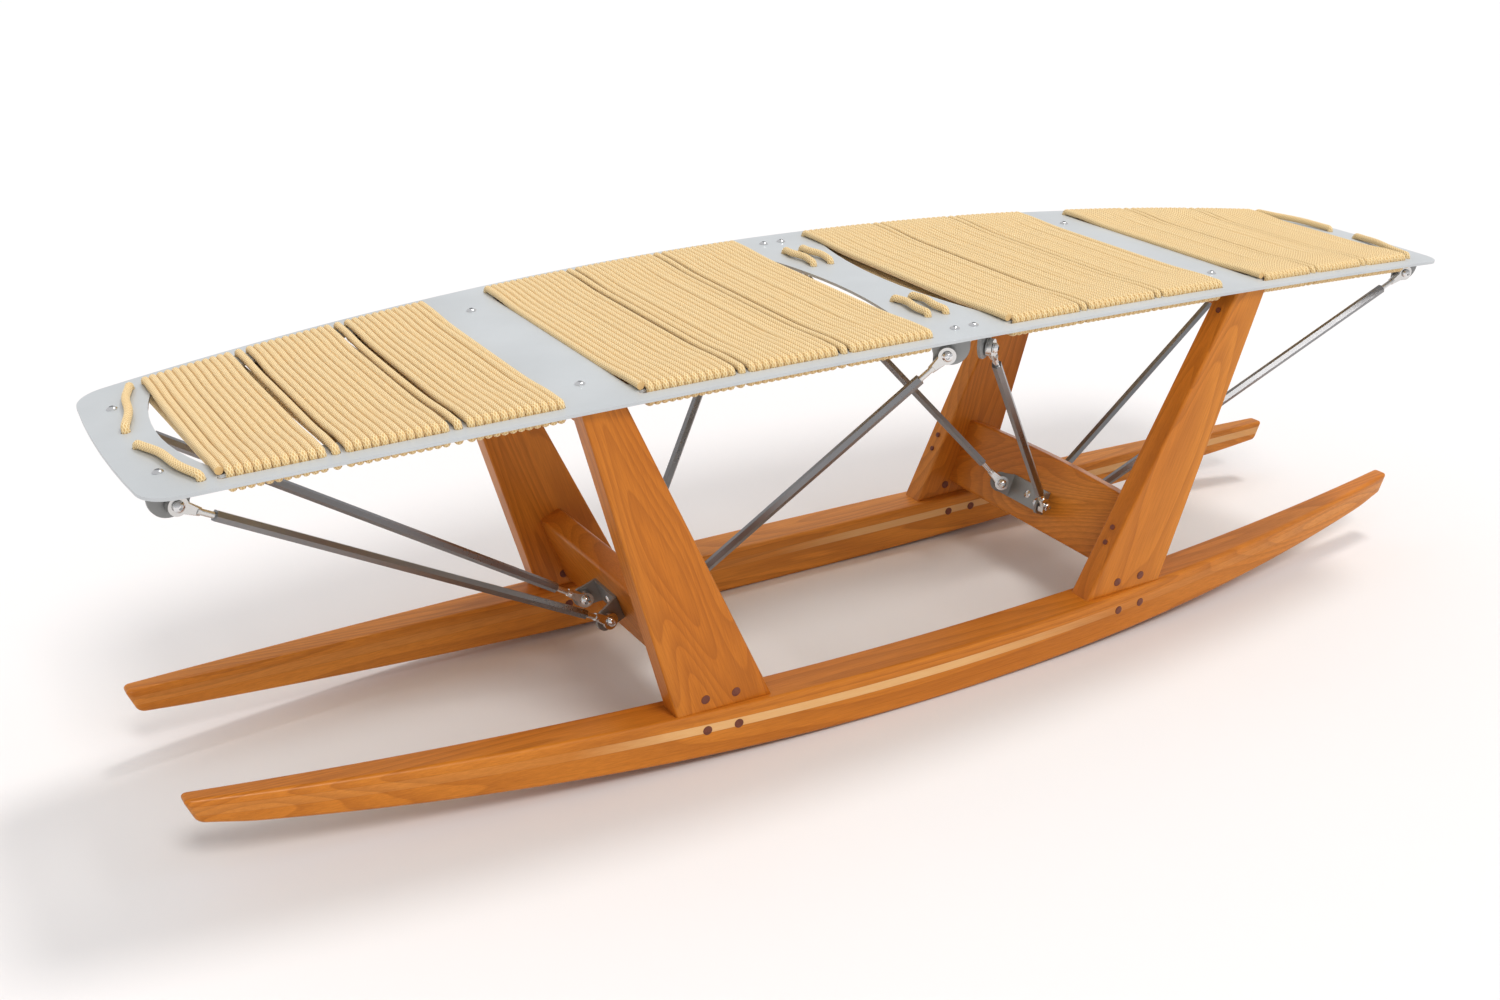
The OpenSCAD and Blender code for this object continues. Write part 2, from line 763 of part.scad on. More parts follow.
// Middle of an ear where the bolt crosses it, and the ear's direction out from the web
function ear_point(kind, sy) = bar_ball(kind, 1, sy) - bar_bolt(kind, 1, sy) * strap_off;
function ear_side(kind, sy) = unit(cross(bar_bolt(kind, 1, sy), bar_axis(1)));
function ear_dir(kind, sy) = ear_side(kind, sy)
    * (ear_side(kind, sy) * bracket_out(kind) > 0 ? 1 : -1);
// The same in the bracket's own section: across the bench, and out from the face
function flat(kind, p) = [p[1], p * bracket_out(kind)];
function ear_tip(kind, sy) = flat(kind, ear_point(kind, sy) - bracket_face(kind));
function ear_way(kind, sy) = flat(kind, ear_dir(kind, sy));
function ear_run(kind, sy) = (ear_tip(kind, sy)[1] - strap_t / 2) / ear_way(kind, sy)[1];
function ear_root(kind, sy) = ear_tip(kind, sy) - ear_way(kind, sy) * ear_run(kind, sy);
function turned(v, a) = [v[0] * cos(a) - v[1] * sin(a), v[0] * sin(a) + v[1] * cos(a)];
// Angle of an ear from the web, and the half-angle of its mitre
function ear_angle(kind, sy) = atan2(ear_way(kind, sy)[1], sy * ear_way(kind, sy)[0]);
BEND_STEPS = 5;

// Half of the bent section on one side: from the web's middle to the ear's end
function strap_half(kind, sy) = let (
        root = ear_root(kind, sy),
        way = ear_way(kind, sy),
        a = ear_angle(kind, sy),
        end = root + way * (ear_run(kind, sy) + ear_r + 1),
        side = [sy * way[1], -sy * way[0]] * strap_t / 2,
        inner = [root[0] - sy * strap_t / 2 * tan(a / 2), root[1] + strap_t / 2])
    concat(
        [for (i = [0:BEND_STEPS]) let (t = -90 + a * i / BEND_STEPS)
            root + [sy * cos(t), sin(t)] * strap_t / 2],
        [end + side, end - side, inner]);

function reversed(v) = [for (i = [len(v) - 1:-1:0]) v[i]];

module strap_bracket(kind) {
    difference() {
        in_bracket(kind) linear_extrude(height = strap_h, center = true)
            polygon(concat(strap_half(kind, 1), reversed(strap_half(kind, -1))));
        for (sy = [1, -1]) at_ear(kind, sy) {
            ear_trim(kind, sy);
            translate([ear_run(kind, sy), 0, 0]) rotate([0, 0, seam_turn])
                cylinder(d = bolt_d + 2 * hole_gap, h = 4 * strap_t, center = true, $fn = ROUND);
        }
        bracket_screw_shank(kind, hole_gap);
    }
}

// Section frame of a bracket: x across the bench, y out from the face, z along the slope
module in_bracket(kind) {
    frame_at(bracket_face(kind), [0, 1, 0], cross([0, 1, 0], bracket_out(kind))) children();
}

// Frame of an ear: x along it, z along its bolt
module at_ear(kind, sy) {
    root = bracket_face(kind) + [0, ear_root(kind, sy)[0], 0]
        + bracket_out(kind) * ear_root(kind, sy)[1];
    frame_at(root, ear_dir(kind, sy), bar_bolt(kind, 1, sy)) children();
}

// What is cut away around the tapered, round-ended outline of an ear
module ear_trim(kind, sy) {
    run = ear_run(kind, sy);
    linear_extrude(height = 4 * strap_t, center = true) difference() {
        translate([strap_t, -strap_h]) square([run + ear_r, 2 * strap_h]);
        polygon([[0, -strap_h / 2], [run, -ear_neck], [run, ear_neck], [0, strap_h / 2]]);
        translate([run, 0]) circle(r = ear_r, $fn = ROUND);
    }
}

module bracket(kind, sx) {
    color(grey_metal) quarter(sx, 1) strap_bracket(kind);
}

// Screw through the middle of a bracket's web into the front lower crossbar
bracket_screw_len = 11;
function web_middle(kind) = (ear_root(kind, 1)[0] + ear_root(kind, -1)[0]) / 2;
module at_bracket_screw(kind) {
    frame_at(bracket_face(kind) + [0, web_middle(kind), 0], [0, 1, 0], bracket_out(kind))
        children();
}

module bracket_screw_shank(kind, grow) {
    at_bracket_screw(kind) translate([0, 0, -bracket_screw_len])
        cylinder(d = screw_d + 2 * grow, h = bracket_screw_len + strap_t + 1, $fn = ROUND);
}

module bracket_screw_hole(kind) {
    at_bracket_screw(kind) translate([0, 0, -bracket_screw_len - 1])
        cylinder(d = screw_d + 2 * run_gap, h = bracket_screw_len + 2, $fn = ROUND);
}

// Button-head screw standing on z = 0, its shank downward
module button_screw(len) {
    difference() {
        union() {
            translate([0, 0, -len]) cylinder(d = screw_d, h = len + 1, $fn = ROUND);
            intersection() {
                cylinder(d = screw_head_d, h = screw_head_h, $fn = ROUND);
                translate([0, 0, screw_head_h - 7]) sphere(r = 7, $fn = 96);
            }
        }
        translate([0, 0, screw_head_h - 1.8])
            cylinder(d = screw_socket / cos(30), h = 3, $fn = 6);
    }
}

module bracket_screws() {
    color(bright_metal) for (sx = [1, -1], kind = ["end", "centre"])
        quarter(sx, 1) at_bracket_screw(kind) translate([0, 0, strap_t]) button_screw(
            bracket_screw_len + strap_t - 1);
}

// Plate screws: heads rest on the crowned upper face
module plate_screw_at(s, len) {
    translate([s[0], s[1], top_z(s[0]) + seat_gap]) rotate([0, crown_tilt(s[0]), 0])
        button_screw(len);
}

module plate_screws_end() {
    color(bright_metal) all_quarters() plate_screw_at(end_screw, tab_screw_len);
}

module plate_screws_centre() {
    color(bright_metal) all_quarters() plate_screw_at(centre_screw, tab_screw_len);
}

module plate_screws_leg() {
    color(bright_metal) all_quarters() plate_screw_at(leg_screw, leg_screw_len);
}

// Tab under the plate: an upright flange beside the ball and a flat flange under the plate,
// reaching inward to its screw
tab_out = 24;
tab_in = 14;
tab_low = 12;
tab_round = 20;
tab_hole = 30;
module tab(kind, deep) {
    ball = plate_ball(kind, 1, 1);
    bolt = plate_bolt(kind, 1, 1);
    away = unit([strut_dir(kind, 1, 1)[0], strut_dir(kind, 1, 1)[1], 0]);
    difference() {
        intersection() {
            union() {
                frame_at(ball - bolt * strap_off, away, cross(away, [0, 0, 1])) tab_flange();
                frame_at(ball - bolt * (strap_off - strap_t / 2), away, [0, 0, 1])
                    mirror([0, bolt * cross([0, 0, 1], away) > 0 ? 1 : 0, 0])
                        translate([-tab_in, 0, tab_drop - 12])
                            cube([tab_in + tab_out, deep, 24]);
            }
            crown_drum(crown_r - plate_t - seat_gap);
            union() {
                tab_skin();
                frame_at(ball - bolt * strap_off, away, cross(away, [0, 0, 1]))
                    cube([300, 100, strap_t], center = true);
            }
        }
        frame_at(ball, away, bolt)
            cylinder(d = bolt_d + 2 * hole_gap, h = 60, center = true, $fn = ROUND);
        plate_screw_hole(kind == "end" ? end_screw : centre_screw, tab_hole);
    }
}

// Layer of one strap thickness under the plate
module tab_skin() {
    difference() {
        crown_drum(crown_r - plate_t - seat_gap);
        crown_drum(crown_r - plate_t - seat_gap - strap_t);
    }
}

// Upright flange outline: x away from the strut, y up, ball at the origin
module tab_flange() {
    translate([0, 0, -strap_t / 2]) linear_extrude(height = strap_t) {
        translate([-tab_in, -tab_low]) square([tab_in + tab_out - tab_round, 60]);
        translate([-tab_in, tab_round - tab_low]) square([tab_in + tab_out, 60]);
        translate([tab_out - tab_round, tab_round - tab_low]) circle(r = tab_round, $fn = ROUND);
    }
}

// Hole for a plate screw, a given depth down from the plate's upper face
module plate_screw_hole(s, deep) {
    translate([s[0], s[1], top_z(s[0])]) rotate([0, crown_tilt(s[0]), 0])
        translate([0, 0, -deep]) cylinder(d = screw_d + 2 * run_gap, h = deep + 8, $fn = ROUND);
}

module end_tabs() {
    color(grey_metal) all_quarters() tab("end", 34);
}

module centre_tabs() {
    color(grey_metal) all_quarters() tab("centre", 24);
}

// Frames of the two rod ends of a strut: origin at the ball, x along the bolt, z to the tube
module at_rod_end(kind, sx, sy, upper) {
    d = strut_dir(kind, sx, sy);
    if (upper) frame_at(plate_ball(kind, sx, sy), plate_bolt(kind, sx, sy), -d) children();
    else frame_at(bar_ball(kind, sx, sy), bar_bolt(kind, sx, sy), d) children();
}

// Rod end: eye, neck and threaded shank
module rod_end() {
    difference() {
        union() {
            rotate([0, 90, 0]) cylinder(d = eye_d, h = eye_w, center = true, $fn = ROUND);
            translate([0, 0, neck_start])
                cylinder(r1 = neck_r1, r2 = neck_r2, h = neck_end - neck_start, $fn = ROUND);
            translate([0, 0, neck_end - 1])
                cylinder(d = bolt_d, h = eye_reach + shank_in_tube - neck_end + 1, $fn = ROUND);
        }
        sphere(d = ball_d + 2 * run_gap, $fn = 96);
        for (s = [1, -1]) translate([s * (eye_w / 2 + 5), 0, 0])
            cube([10, 2 * eye_d, 2 * flat_reach], center = true);
    }
}

module rod_ends(kind, sx, sy) {
    color(bright_metal) for (upper = [true, false]) at_rod_end(kind, sx, sy, upper) rod_end();
}

module tube(kind, sx, sy) {
    len = strut_len(kind) - 2 * eye_reach;
    d = strut_dir(kind, sx, sy);
    color(satin_metal) frame_at(bar_ball(kind, sx, sy) + d * eye_reach, bar_bolt(kind, sx, sy), d)
        difference() {
            cylinder(d = tube_af / cos(30), h = len, $fn = 6);
            for (z = [-1, len - shank_in_tube - 1]) translate([0, 0, z])
                cylinder(d = bolt_d + 2 * run_gap, h = shank_in_tube + 2, $fn = ROUND);
        }
}

// Repeats a child at all sixteen rod ends
module all_rod_ends() {
    for (kind = ["end", "centre"], sx = [1, -1], sy = [1, -1], upper = [true, false])
        at_rod_end(kind, sx, sy, upper) children();
}

module rod_end_balls() {
    color(bright_metal) all_rod_ends() difference() {
        intersection() {
            sphere(d = ball_d, $fn = 96);
            cube([ball_w, ball_d, ball_d], center = true);
        }
        rotate([0, 90, 0])
            cylinder(d = bolt_d + 2 * run_gap, h = 2 * ball_w, center = true, $fn = ROUND);
    }
}

module rod_end_bolts() {
    stack = ball_w / 2 + strap_t + nut_t + bolt_tail;
    color(bright_metal) all_rod_ends() rotate([0, 90, 0]) difference() {
        union() {
            translate([0, 0, -stack]) cylinder(d = bolt_d, h = stack + ball_w / 2 + 1, $fn = ROUND);
            translate([0, 0, ball_w / 2]) intersection() {
                cylinder(d = bolt_head_d, h = bolt_head_h, $fn = ROUND);
                translate([0, 0, bolt_head_h - 6.5]) sphere(r = 6.5, $fn = 96);
            }
        }
        translate([0, 0, ball_w / 2 + bolt_head_h - 2.4])
            cylinder(d = screw_socket / cos(30), h = 4, $fn = 6);
    }
}

module rod_end_nuts() {
    color(bright_metal) all_rod_ends()
        translate([-ball_w / 2 - strap_t - nut_t, 0, 0]) rotate([0, 90, 0])
            difference() {
                cylinder(d = nut_af / cos(30), h = nut_t, $fn = 6);
                translate([0, 0, -1])
                    cylinder(d = bolt_d + 2 * run_gap, h = nut_t + 2, $fn = ROUND);
            }
}

module runner_part(sy, k, tint) {
    color(tint) quarter(1, sy) runner_layer(k);
}

seat_plate();
mirror([1, 0, 0]) rope_panel(end_panel);  // rope_panel_rear_end
mirror([1, 0, 0]) rope_panel(mid_panel);  // rope_panel_rear_middle
rope_panel(mid_panel);  // rope_panel_front_middle
rope_panel(end_panel);  // rope_panel_front_end
rope_stitches();
runner_part(1, 0, cherry);  // runner_left_top
runner_part(1, 1, maple);  // runner_left_maple
runner_part(1, 2, cherry);  // runner_left_base
runner_part(-1, 0, cherry);  // runner_right_top
runner_part(-1, 1, maple);  // runner_right_maple
runner_part(-1, 2, cherry);  // runner_right_base
leg(1, 1);  // leg_front_left
leg(1, -1);  // leg_front_right
leg(-1, 1);  // leg_rear_left
leg(-1, -1);  // leg_rear_right
lower_crossbar(1);  // crossbar_lower_front
lower_crossbar(-1);  // crossbar_lower_rear
upper_crossbar(1);  // crossbar_upper_front
upper_crossbar(-1);  // crossbar_upper_rear
floating_tenons();
runner_plugs();
leg_plugs();
crossbar_plugs();
bracket("end", 1);  // bracket_outer_front
bracket("centre", 1);  // bracket_inner_front
bracket("end", -1);  // bracket_outer_rear
bracket("centre", -1);  // bracket_inner_rear
bracket_screws();
end_tabs();
centre_tabs();
plate_screws_end();
plate_screws_leg();
plate_screws_centre();
rod_end_balls();
rod_end_bolts();
rod_end_nuts();
tube("end", 1, 1);  // tube_front_end_left
tube("end", 1, -1);  // tube_front_end_right
tube("end", -1, 1);  // tube_rear_end_left
tube("end", -1, -1);  // tube_rear_end_right
tube("centre", 1, 1);  // tube_front_centre_left
tube("centre", 1, -1);  // tube_front_centre_right
tube("centre", -1, 1);  // tube_rear_centre_left
tube("centre", -1, -1);  // tube_rear_centre_right
rod_ends("end", 1, 1);  // rod_ends_front_end_left
rod_ends("end", 1, -1);  // rod_ends_front_end_right
rod_ends("end", -1, 1);  // rod_ends_rear_end_left
rod_ends("end", -1, -1);  // rod_ends_rear_end_right
rod_ends("centre", 1, 1);  // rod_ends_front_centre_left
rod_ends("centre", 1, -1);  // rod_ends_front_centre_right
rod_ends("centre", -1, 1);  // rod_ends_rear_centre_left
rod_ends("centre", -1, -1);  // rod_ends_rear_centre_right
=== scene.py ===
"""Looks of a rocking rope bench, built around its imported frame.

The frame carries every part at its true size. This script gives the wooden parts their rounded
arrises and grain, winds the seat with braided rope, and sets the stage, lights and camera.
Lengths are in metres, +X runs along the bench, +Y across it to the left and +Z up.
"""
import logging
import math
from dataclasses import dataclass
from enum import Enum

import bpy
import numpy as np
from bpy.types import ID, Material, Node, NodeSocket, Object
from mathutils import Matrix, Vector


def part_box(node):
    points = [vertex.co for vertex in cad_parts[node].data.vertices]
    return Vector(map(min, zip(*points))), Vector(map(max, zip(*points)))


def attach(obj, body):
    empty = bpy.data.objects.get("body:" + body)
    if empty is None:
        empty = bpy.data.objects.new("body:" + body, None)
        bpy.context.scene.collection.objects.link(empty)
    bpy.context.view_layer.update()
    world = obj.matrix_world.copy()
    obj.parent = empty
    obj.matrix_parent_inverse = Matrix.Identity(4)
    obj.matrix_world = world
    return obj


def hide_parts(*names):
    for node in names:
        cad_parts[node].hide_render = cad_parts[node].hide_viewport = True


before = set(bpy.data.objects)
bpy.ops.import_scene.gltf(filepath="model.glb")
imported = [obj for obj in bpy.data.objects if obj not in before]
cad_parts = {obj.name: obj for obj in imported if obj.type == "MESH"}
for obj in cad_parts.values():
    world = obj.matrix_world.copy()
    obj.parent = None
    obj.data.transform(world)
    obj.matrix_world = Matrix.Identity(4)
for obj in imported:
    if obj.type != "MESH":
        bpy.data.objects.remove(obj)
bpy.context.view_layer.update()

Array = np.ndarray
Triple = tuple[float, float, float]
Colour = tuple[float, float, float, float]
MM = 0.001
QUARTER_TURN = math.pi / 2.0
FULL_TURN = 2.0 * math.pi
AXIS_X, AXIS_Y, AXIS_Z = np.eye(3)
ROOT = "root"
log = logging.getLogger("rope_bench")


# ---- mesh helpers


def unit(v: Array) -> Array:
    """Each vector of an array (or one vector) brought to length one."""
    return v / np.linalg.norm(v, axis=-1, keepdims=True)


def smoothstep(t: Array) -> Array:
    """Smooth rise from 0 to 1 as t goes from 0 to 1."""
    t = np.clip(t, 0.0, 1.0)
    return t * t * (3.0 - 2.0 * t)


def tube_faces(rings: int, sides: int, start: int = 0, inward: bool = False) -> list:
    """Faces of a tube with closed ends: the quads between its rings, then two caps.

    Args:
        rings: number of rings along the tube.
        sides: number of points in each ring.
        start: index of the first point.
        inward: whether the rings turn left-handed about the direction of travel.
    Returns:
        A list of index tuples whose normals point outward.
    """
    i = np.arange(rings - 1)[:, None] * sides
    j = np.arange(sides)[None, :]
    k = (j + 1) % sides
    quads = np.stack([i + j, i + k, i + sides + k, i + sides + j], axis=-1)
    faces = [tuple(quad) for quad in (quads.reshape(-1, 4) + start).tolist()]
    last = start + (rings - 1) * sides
    faces += [tuple(range(start, start + sides))[::-1], tuple(range(last, last + sides))]
    return [face[::-1] for face in faces] if inward else faces


def new_object(name: str, data: ID) -> Object:
    """Makes an object at the origin and links it to the scene.

    Args:
        name: the object's name.
        data: its mesh, lamp or camera.
    Returns:
        The new object.
    """
    thing = bpy.data.objects.new(name, data)
    bpy.context.scene.collection.objects.link(thing)
    return thing


def make_piece(name: str, points: Array, faces: list,
               sharp_deg: float = 40.0) -> Object:
    """Makes a mesh object at the origin from points and faces.

    Args:
        name: the piece's name.
        points: (n, 3) array of places in metres.
        faces: list of index tuples.
        sharp_deg: edges sharper than this keep a crisp line.
    Returns:
        The new object, linked to the scene.
    """
    mesh = bpy.data.meshes.new(name)
    mesh.from_pydata(points.tolist(), [], faces)
    mesh.validate()
    mesh.polygons.foreach_set("use_smooth", np.full(len(mesh.polygons), True))
    mesh.set_sharp_from_angle(angle=math.radians(sharp_deg))
    mesh.update()
    return new_object(name, mesh)


def put(piece: Object, material: Material, nodes: list[str],
        body: str = ROOT) -> Object:
    """Dresses a piece, hides the nodes it stands for and lets it ride.

    Args:
        piece: the finished piece.
        material: its material.
        nodes: CAD nodes that the piece stands for.
        body: the CAD body that it rides on.
    Returns:
        The same piece.
    """
    piece.data.materials.append(material)
    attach(piece, body)
    if nodes:
        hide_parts(*nodes)
    log.info("%s: %d faces", piece.name, len(piece.data.polygons))
    return piece


# ---- sizes


@dataclass(frozen=True)
class BenchSizes:
    """The bench's driving sizes in metres, with its overall box taken from the frame."""

    crown_r: float = 7.900
    plan_r: float = 4.600
    plate_t: float = 3.2 * MM
    rope_pitch: float = 7.8 * MM
    rope_gap: float = 0.3 * MM
    slot_inset: float = 22.4 * MM
    rail_edge_inset: float = 46.8 * MM
    runner_half_span: float = 202.3 * MM
    runner_w: float = 52.0 * MM
    runner_h: float = 58.0 * MM
    runner_top_r: float = 12.500
    runner_in_r: float = 7.700
    rocker_r: float = 6.050
    glue_r: float = 10.000
    layer_top: float = 14.0 * MM
    layer_maple: float = 10.5 * MM
    leg_foot_x: float = 282.5 * MM
    leg_foot_w: float = 117.0 * MM
    leg_top_x: float = 425.5 * MM
    leg_top_w: float = 46.0 * MM
    leg_t: float = 30.0 * MM
    leg_step: float = 7.0 * MM
    leg_lean: float = math.radians(1.4)
    bar_x: float = 307.5 * MM
    bar_z: float = 120.0 * MM
    bar_slope: float = math.radians(21.3)
    bar_t: float = 29.0 * MM
    bar_down: float = 48.0 * MM
    bar_up: float = 46.0 * MM
    bar_arch: float = 5.0 * MM
    top_bar_x: float = 420.0 * MM
    top_bar_w: float = 32.0 * MM
    top_bar_h: float = 27.0 * MM
    peg_d: float = 9.5 * MM
    bar_peg_d: float = 6.4 * MM
    peg_shift: float = 6.5 * MM
    peg_pitch: float = 37.3 * MM
    peg_down: float = 20.4 * MM
    peg_up: float = 14.5 * MM

    @property
    def seat_h(self) -> float:
        """Height of the plate's upper face at its middle."""
        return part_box("seat_plate")[1].z

    @property
    def plate_half_w(self) -> float:
        """Half the plate's width at its middle."""
        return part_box("seat_plate")[1].y

    @property
    def runner_half_len(self) -> float:
        """Half the length of a runner."""
        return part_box("runner_left_top")[1].x

    def crown_point(self, x: Array, y: Array, h: Array) -> Array:
        """Points over the crowned plate: out along the radius of its arc.

        Args:
            x: length along the arc's chord.
            y: place across the bench.
            h: height over the plate's upper face.
        Returns:
            The points, as one array.
        """
        a = np.arcsin(np.asarray(x) / self.crown_r)
        r = self.crown_r + np.asarray(h)
        centre = self.seat_h - self.crown_r
        return np.stack(np.broadcast_arrays(r * np.sin(a), y, centre + r * np.cos(a)), axis=-1)

    def bulge(self, x: Array, high: float, r: float) -> Array:
        """Arc of radius r over x whose highest point is at high."""
        return high - r + np.sqrt(r * r - np.square(x))

    def dip(self, x: Array, low: float, r: float) -> Array:
        """Hollow arc of radius r over x whose lowest point is at low."""
        return -self.bulge(x, -low, r)

    def under_z(self, x: Array) -> Array:
        """Height of the plate's underside over x."""
        return self.bulge(x, self.seat_h - self.plate_t, self.crown_r - self.plate_t)

    def half_w(self, x: Array, inset: float) -> Array:
        """Half-width of the plate's outline over x, set in by a distance."""
        return self.bulge(x, self.plate_half_w - inset, self.plan_r - inset)

    def runner_out(self, x: Array) -> Array:
        """Outer face of a runner in plan."""
        return self.bulge(x, self.runner_half_span, self.plan_r)

    def runner_in(self, x: Array) -> Array:
        """Inner face of a runner in plan."""
        return self.bulge(x, self.runner_half_span - self.runner_w, self.runner_in_r)

    def runner_top(self, x: Array) -> Array:
        """Upper face of a runner."""
        return self.dip(x, self.runner_h, self.runner_top_r)

    @property
    def foot_z(self) -> float:
        """Height of the joint between leg and runner."""
        return float(self.runner_top(self.leg_foot_x))

    @property
    def leg_out_y(self) -> float:
        """Outer face of a leg at its foot."""
        return float(self.runner_out(self.leg_foot_x)) - self.leg_step


SIZES = BenchSizes()


# ---- material helpers


class NodeSheet:
    """Builds one material's nodes with short calls."""

    def __init__(self, name: str) -> None:
        """Starts a material with an empty Principled shader.

        Args:
            name: the material's name.
        """
        self.material = bpy.data.materials.new(name)
        self.material.use_nodes = True
        self.tree = self.material.node_tree
        self.shader = self.tree.nodes["Principled BSDF"]

    def fill(self, node: Node, inputs: dict) -> Node:
        """Fills a node's inputs: an output is linked, and a plain value is set.

        Args:
            node: the node.
            inputs: what goes into each input, by its name or number.
        Returns:
            The same node.
        """
        for key, value in inputs.items():
            if isinstance(value, NodeSocket):
                self.tree.links.new(value, node.inputs[key])
            else:
                node.inputs[key].default_value = value
        return node

    def add(self, kind: str, inputs: dict | None = None, **settings: object) -> Node:
        """Adds a node, sets its properties and fills its inputs.

        Args:
            kind: the node's type name.
            inputs: what goes into each input, by its name or number.
            settings: properties of the node, by name.
        Returns:
            The new node.
        """
        node = self.tree.nodes.new(kind)
        for key, value in settings.items():
            setattr(node, key, value)
        return self.fill(node, inputs or {})

    def surface(self, inputs: dict) -> None:
        """Fills the shader's own inputs."""
        self.fill(self.shader, inputs)

    def math(self, operation: str, a: object, b: object = 0.0) -> NodeSocket:
        """Result of a Math node on two values or outputs."""
        return self.add("ShaderNodeMath", {0: a, 1: b}, operation=operation).outputs[0]

    def blend(self, share: object, a: object, b: object) -> NodeSocket:
        """The first of two colours, with a share of the second mixed in."""
        return self.add("ShaderNodeMix", {0: share, 6: a, 7: b}, data_type="RGBA").outputs[2]

    def noise(self, where: object, scale: float, detail: float = 3.0, rough: float = 0.5,
              bend: float = 0.0) -> NodeSocket:
        """Value of a Noise texture, 0 to 1, read at some coordinates."""
        return self.add("ShaderNodeTexNoise", {"Vector": where, "Scale": scale, "Detail": detail,
                                               "Roughness": rough, "Distortion": bend}).outputs[0]

    def ramp(self, value: object, low: float, high: float, out_low: float = 0.0,
             out_high: float = 1.0) -> NodeSocket:
        """A value taken from the range low to high to a second range and held inside it."""
        return self.add("ShaderNodeMapRange", {0: value, 1: low, 2: high, 3: out_low,
                                               4: out_high}).outputs[0]

    def place(self, turn: Triple = (0.0, 0.0, 0.0), scale: Triple = (1.0, 1.0, 1.0),
              shift: Triple = (0.0, 0.0, 0.0)) -> NodeSocket:
        """Object coordinates, turned, scaled and shifted.

        Args:
            turn: rotation of the grain, in radians.
            scale: scale along and across the grain.
            shift: where on its board the piece was cut.
        Returns:
            The coordinates.
        """
        coords = self.add("ShaderNodeTexCoord").outputs["Object"]
        turned = self.add("ShaderNodeMapping", {"Vector": coords, "Rotation": turn},
                          vector_type="TEXTURE").outputs[0]
        return self.add("ShaderNodeMapping", {"Vector": turned, "Location": shift,
                                              "Scale": scale}).outputs[0]

    def bump(self, height: object, strength: float, depth: float) -> None:
        """Bends the shader's normal by a height of 0 to 1 that is some metres deep."""
        self.surface({"Normal": self.add("ShaderNodeBump", {
            "Height": height, "Strength": strength, "Distance": depth}).outputs[0]})


class Cut(Enum):
    """Which way the growth rings meet the face of a board."""

    PLAIN = 1.0
    QUARTER = 0.35


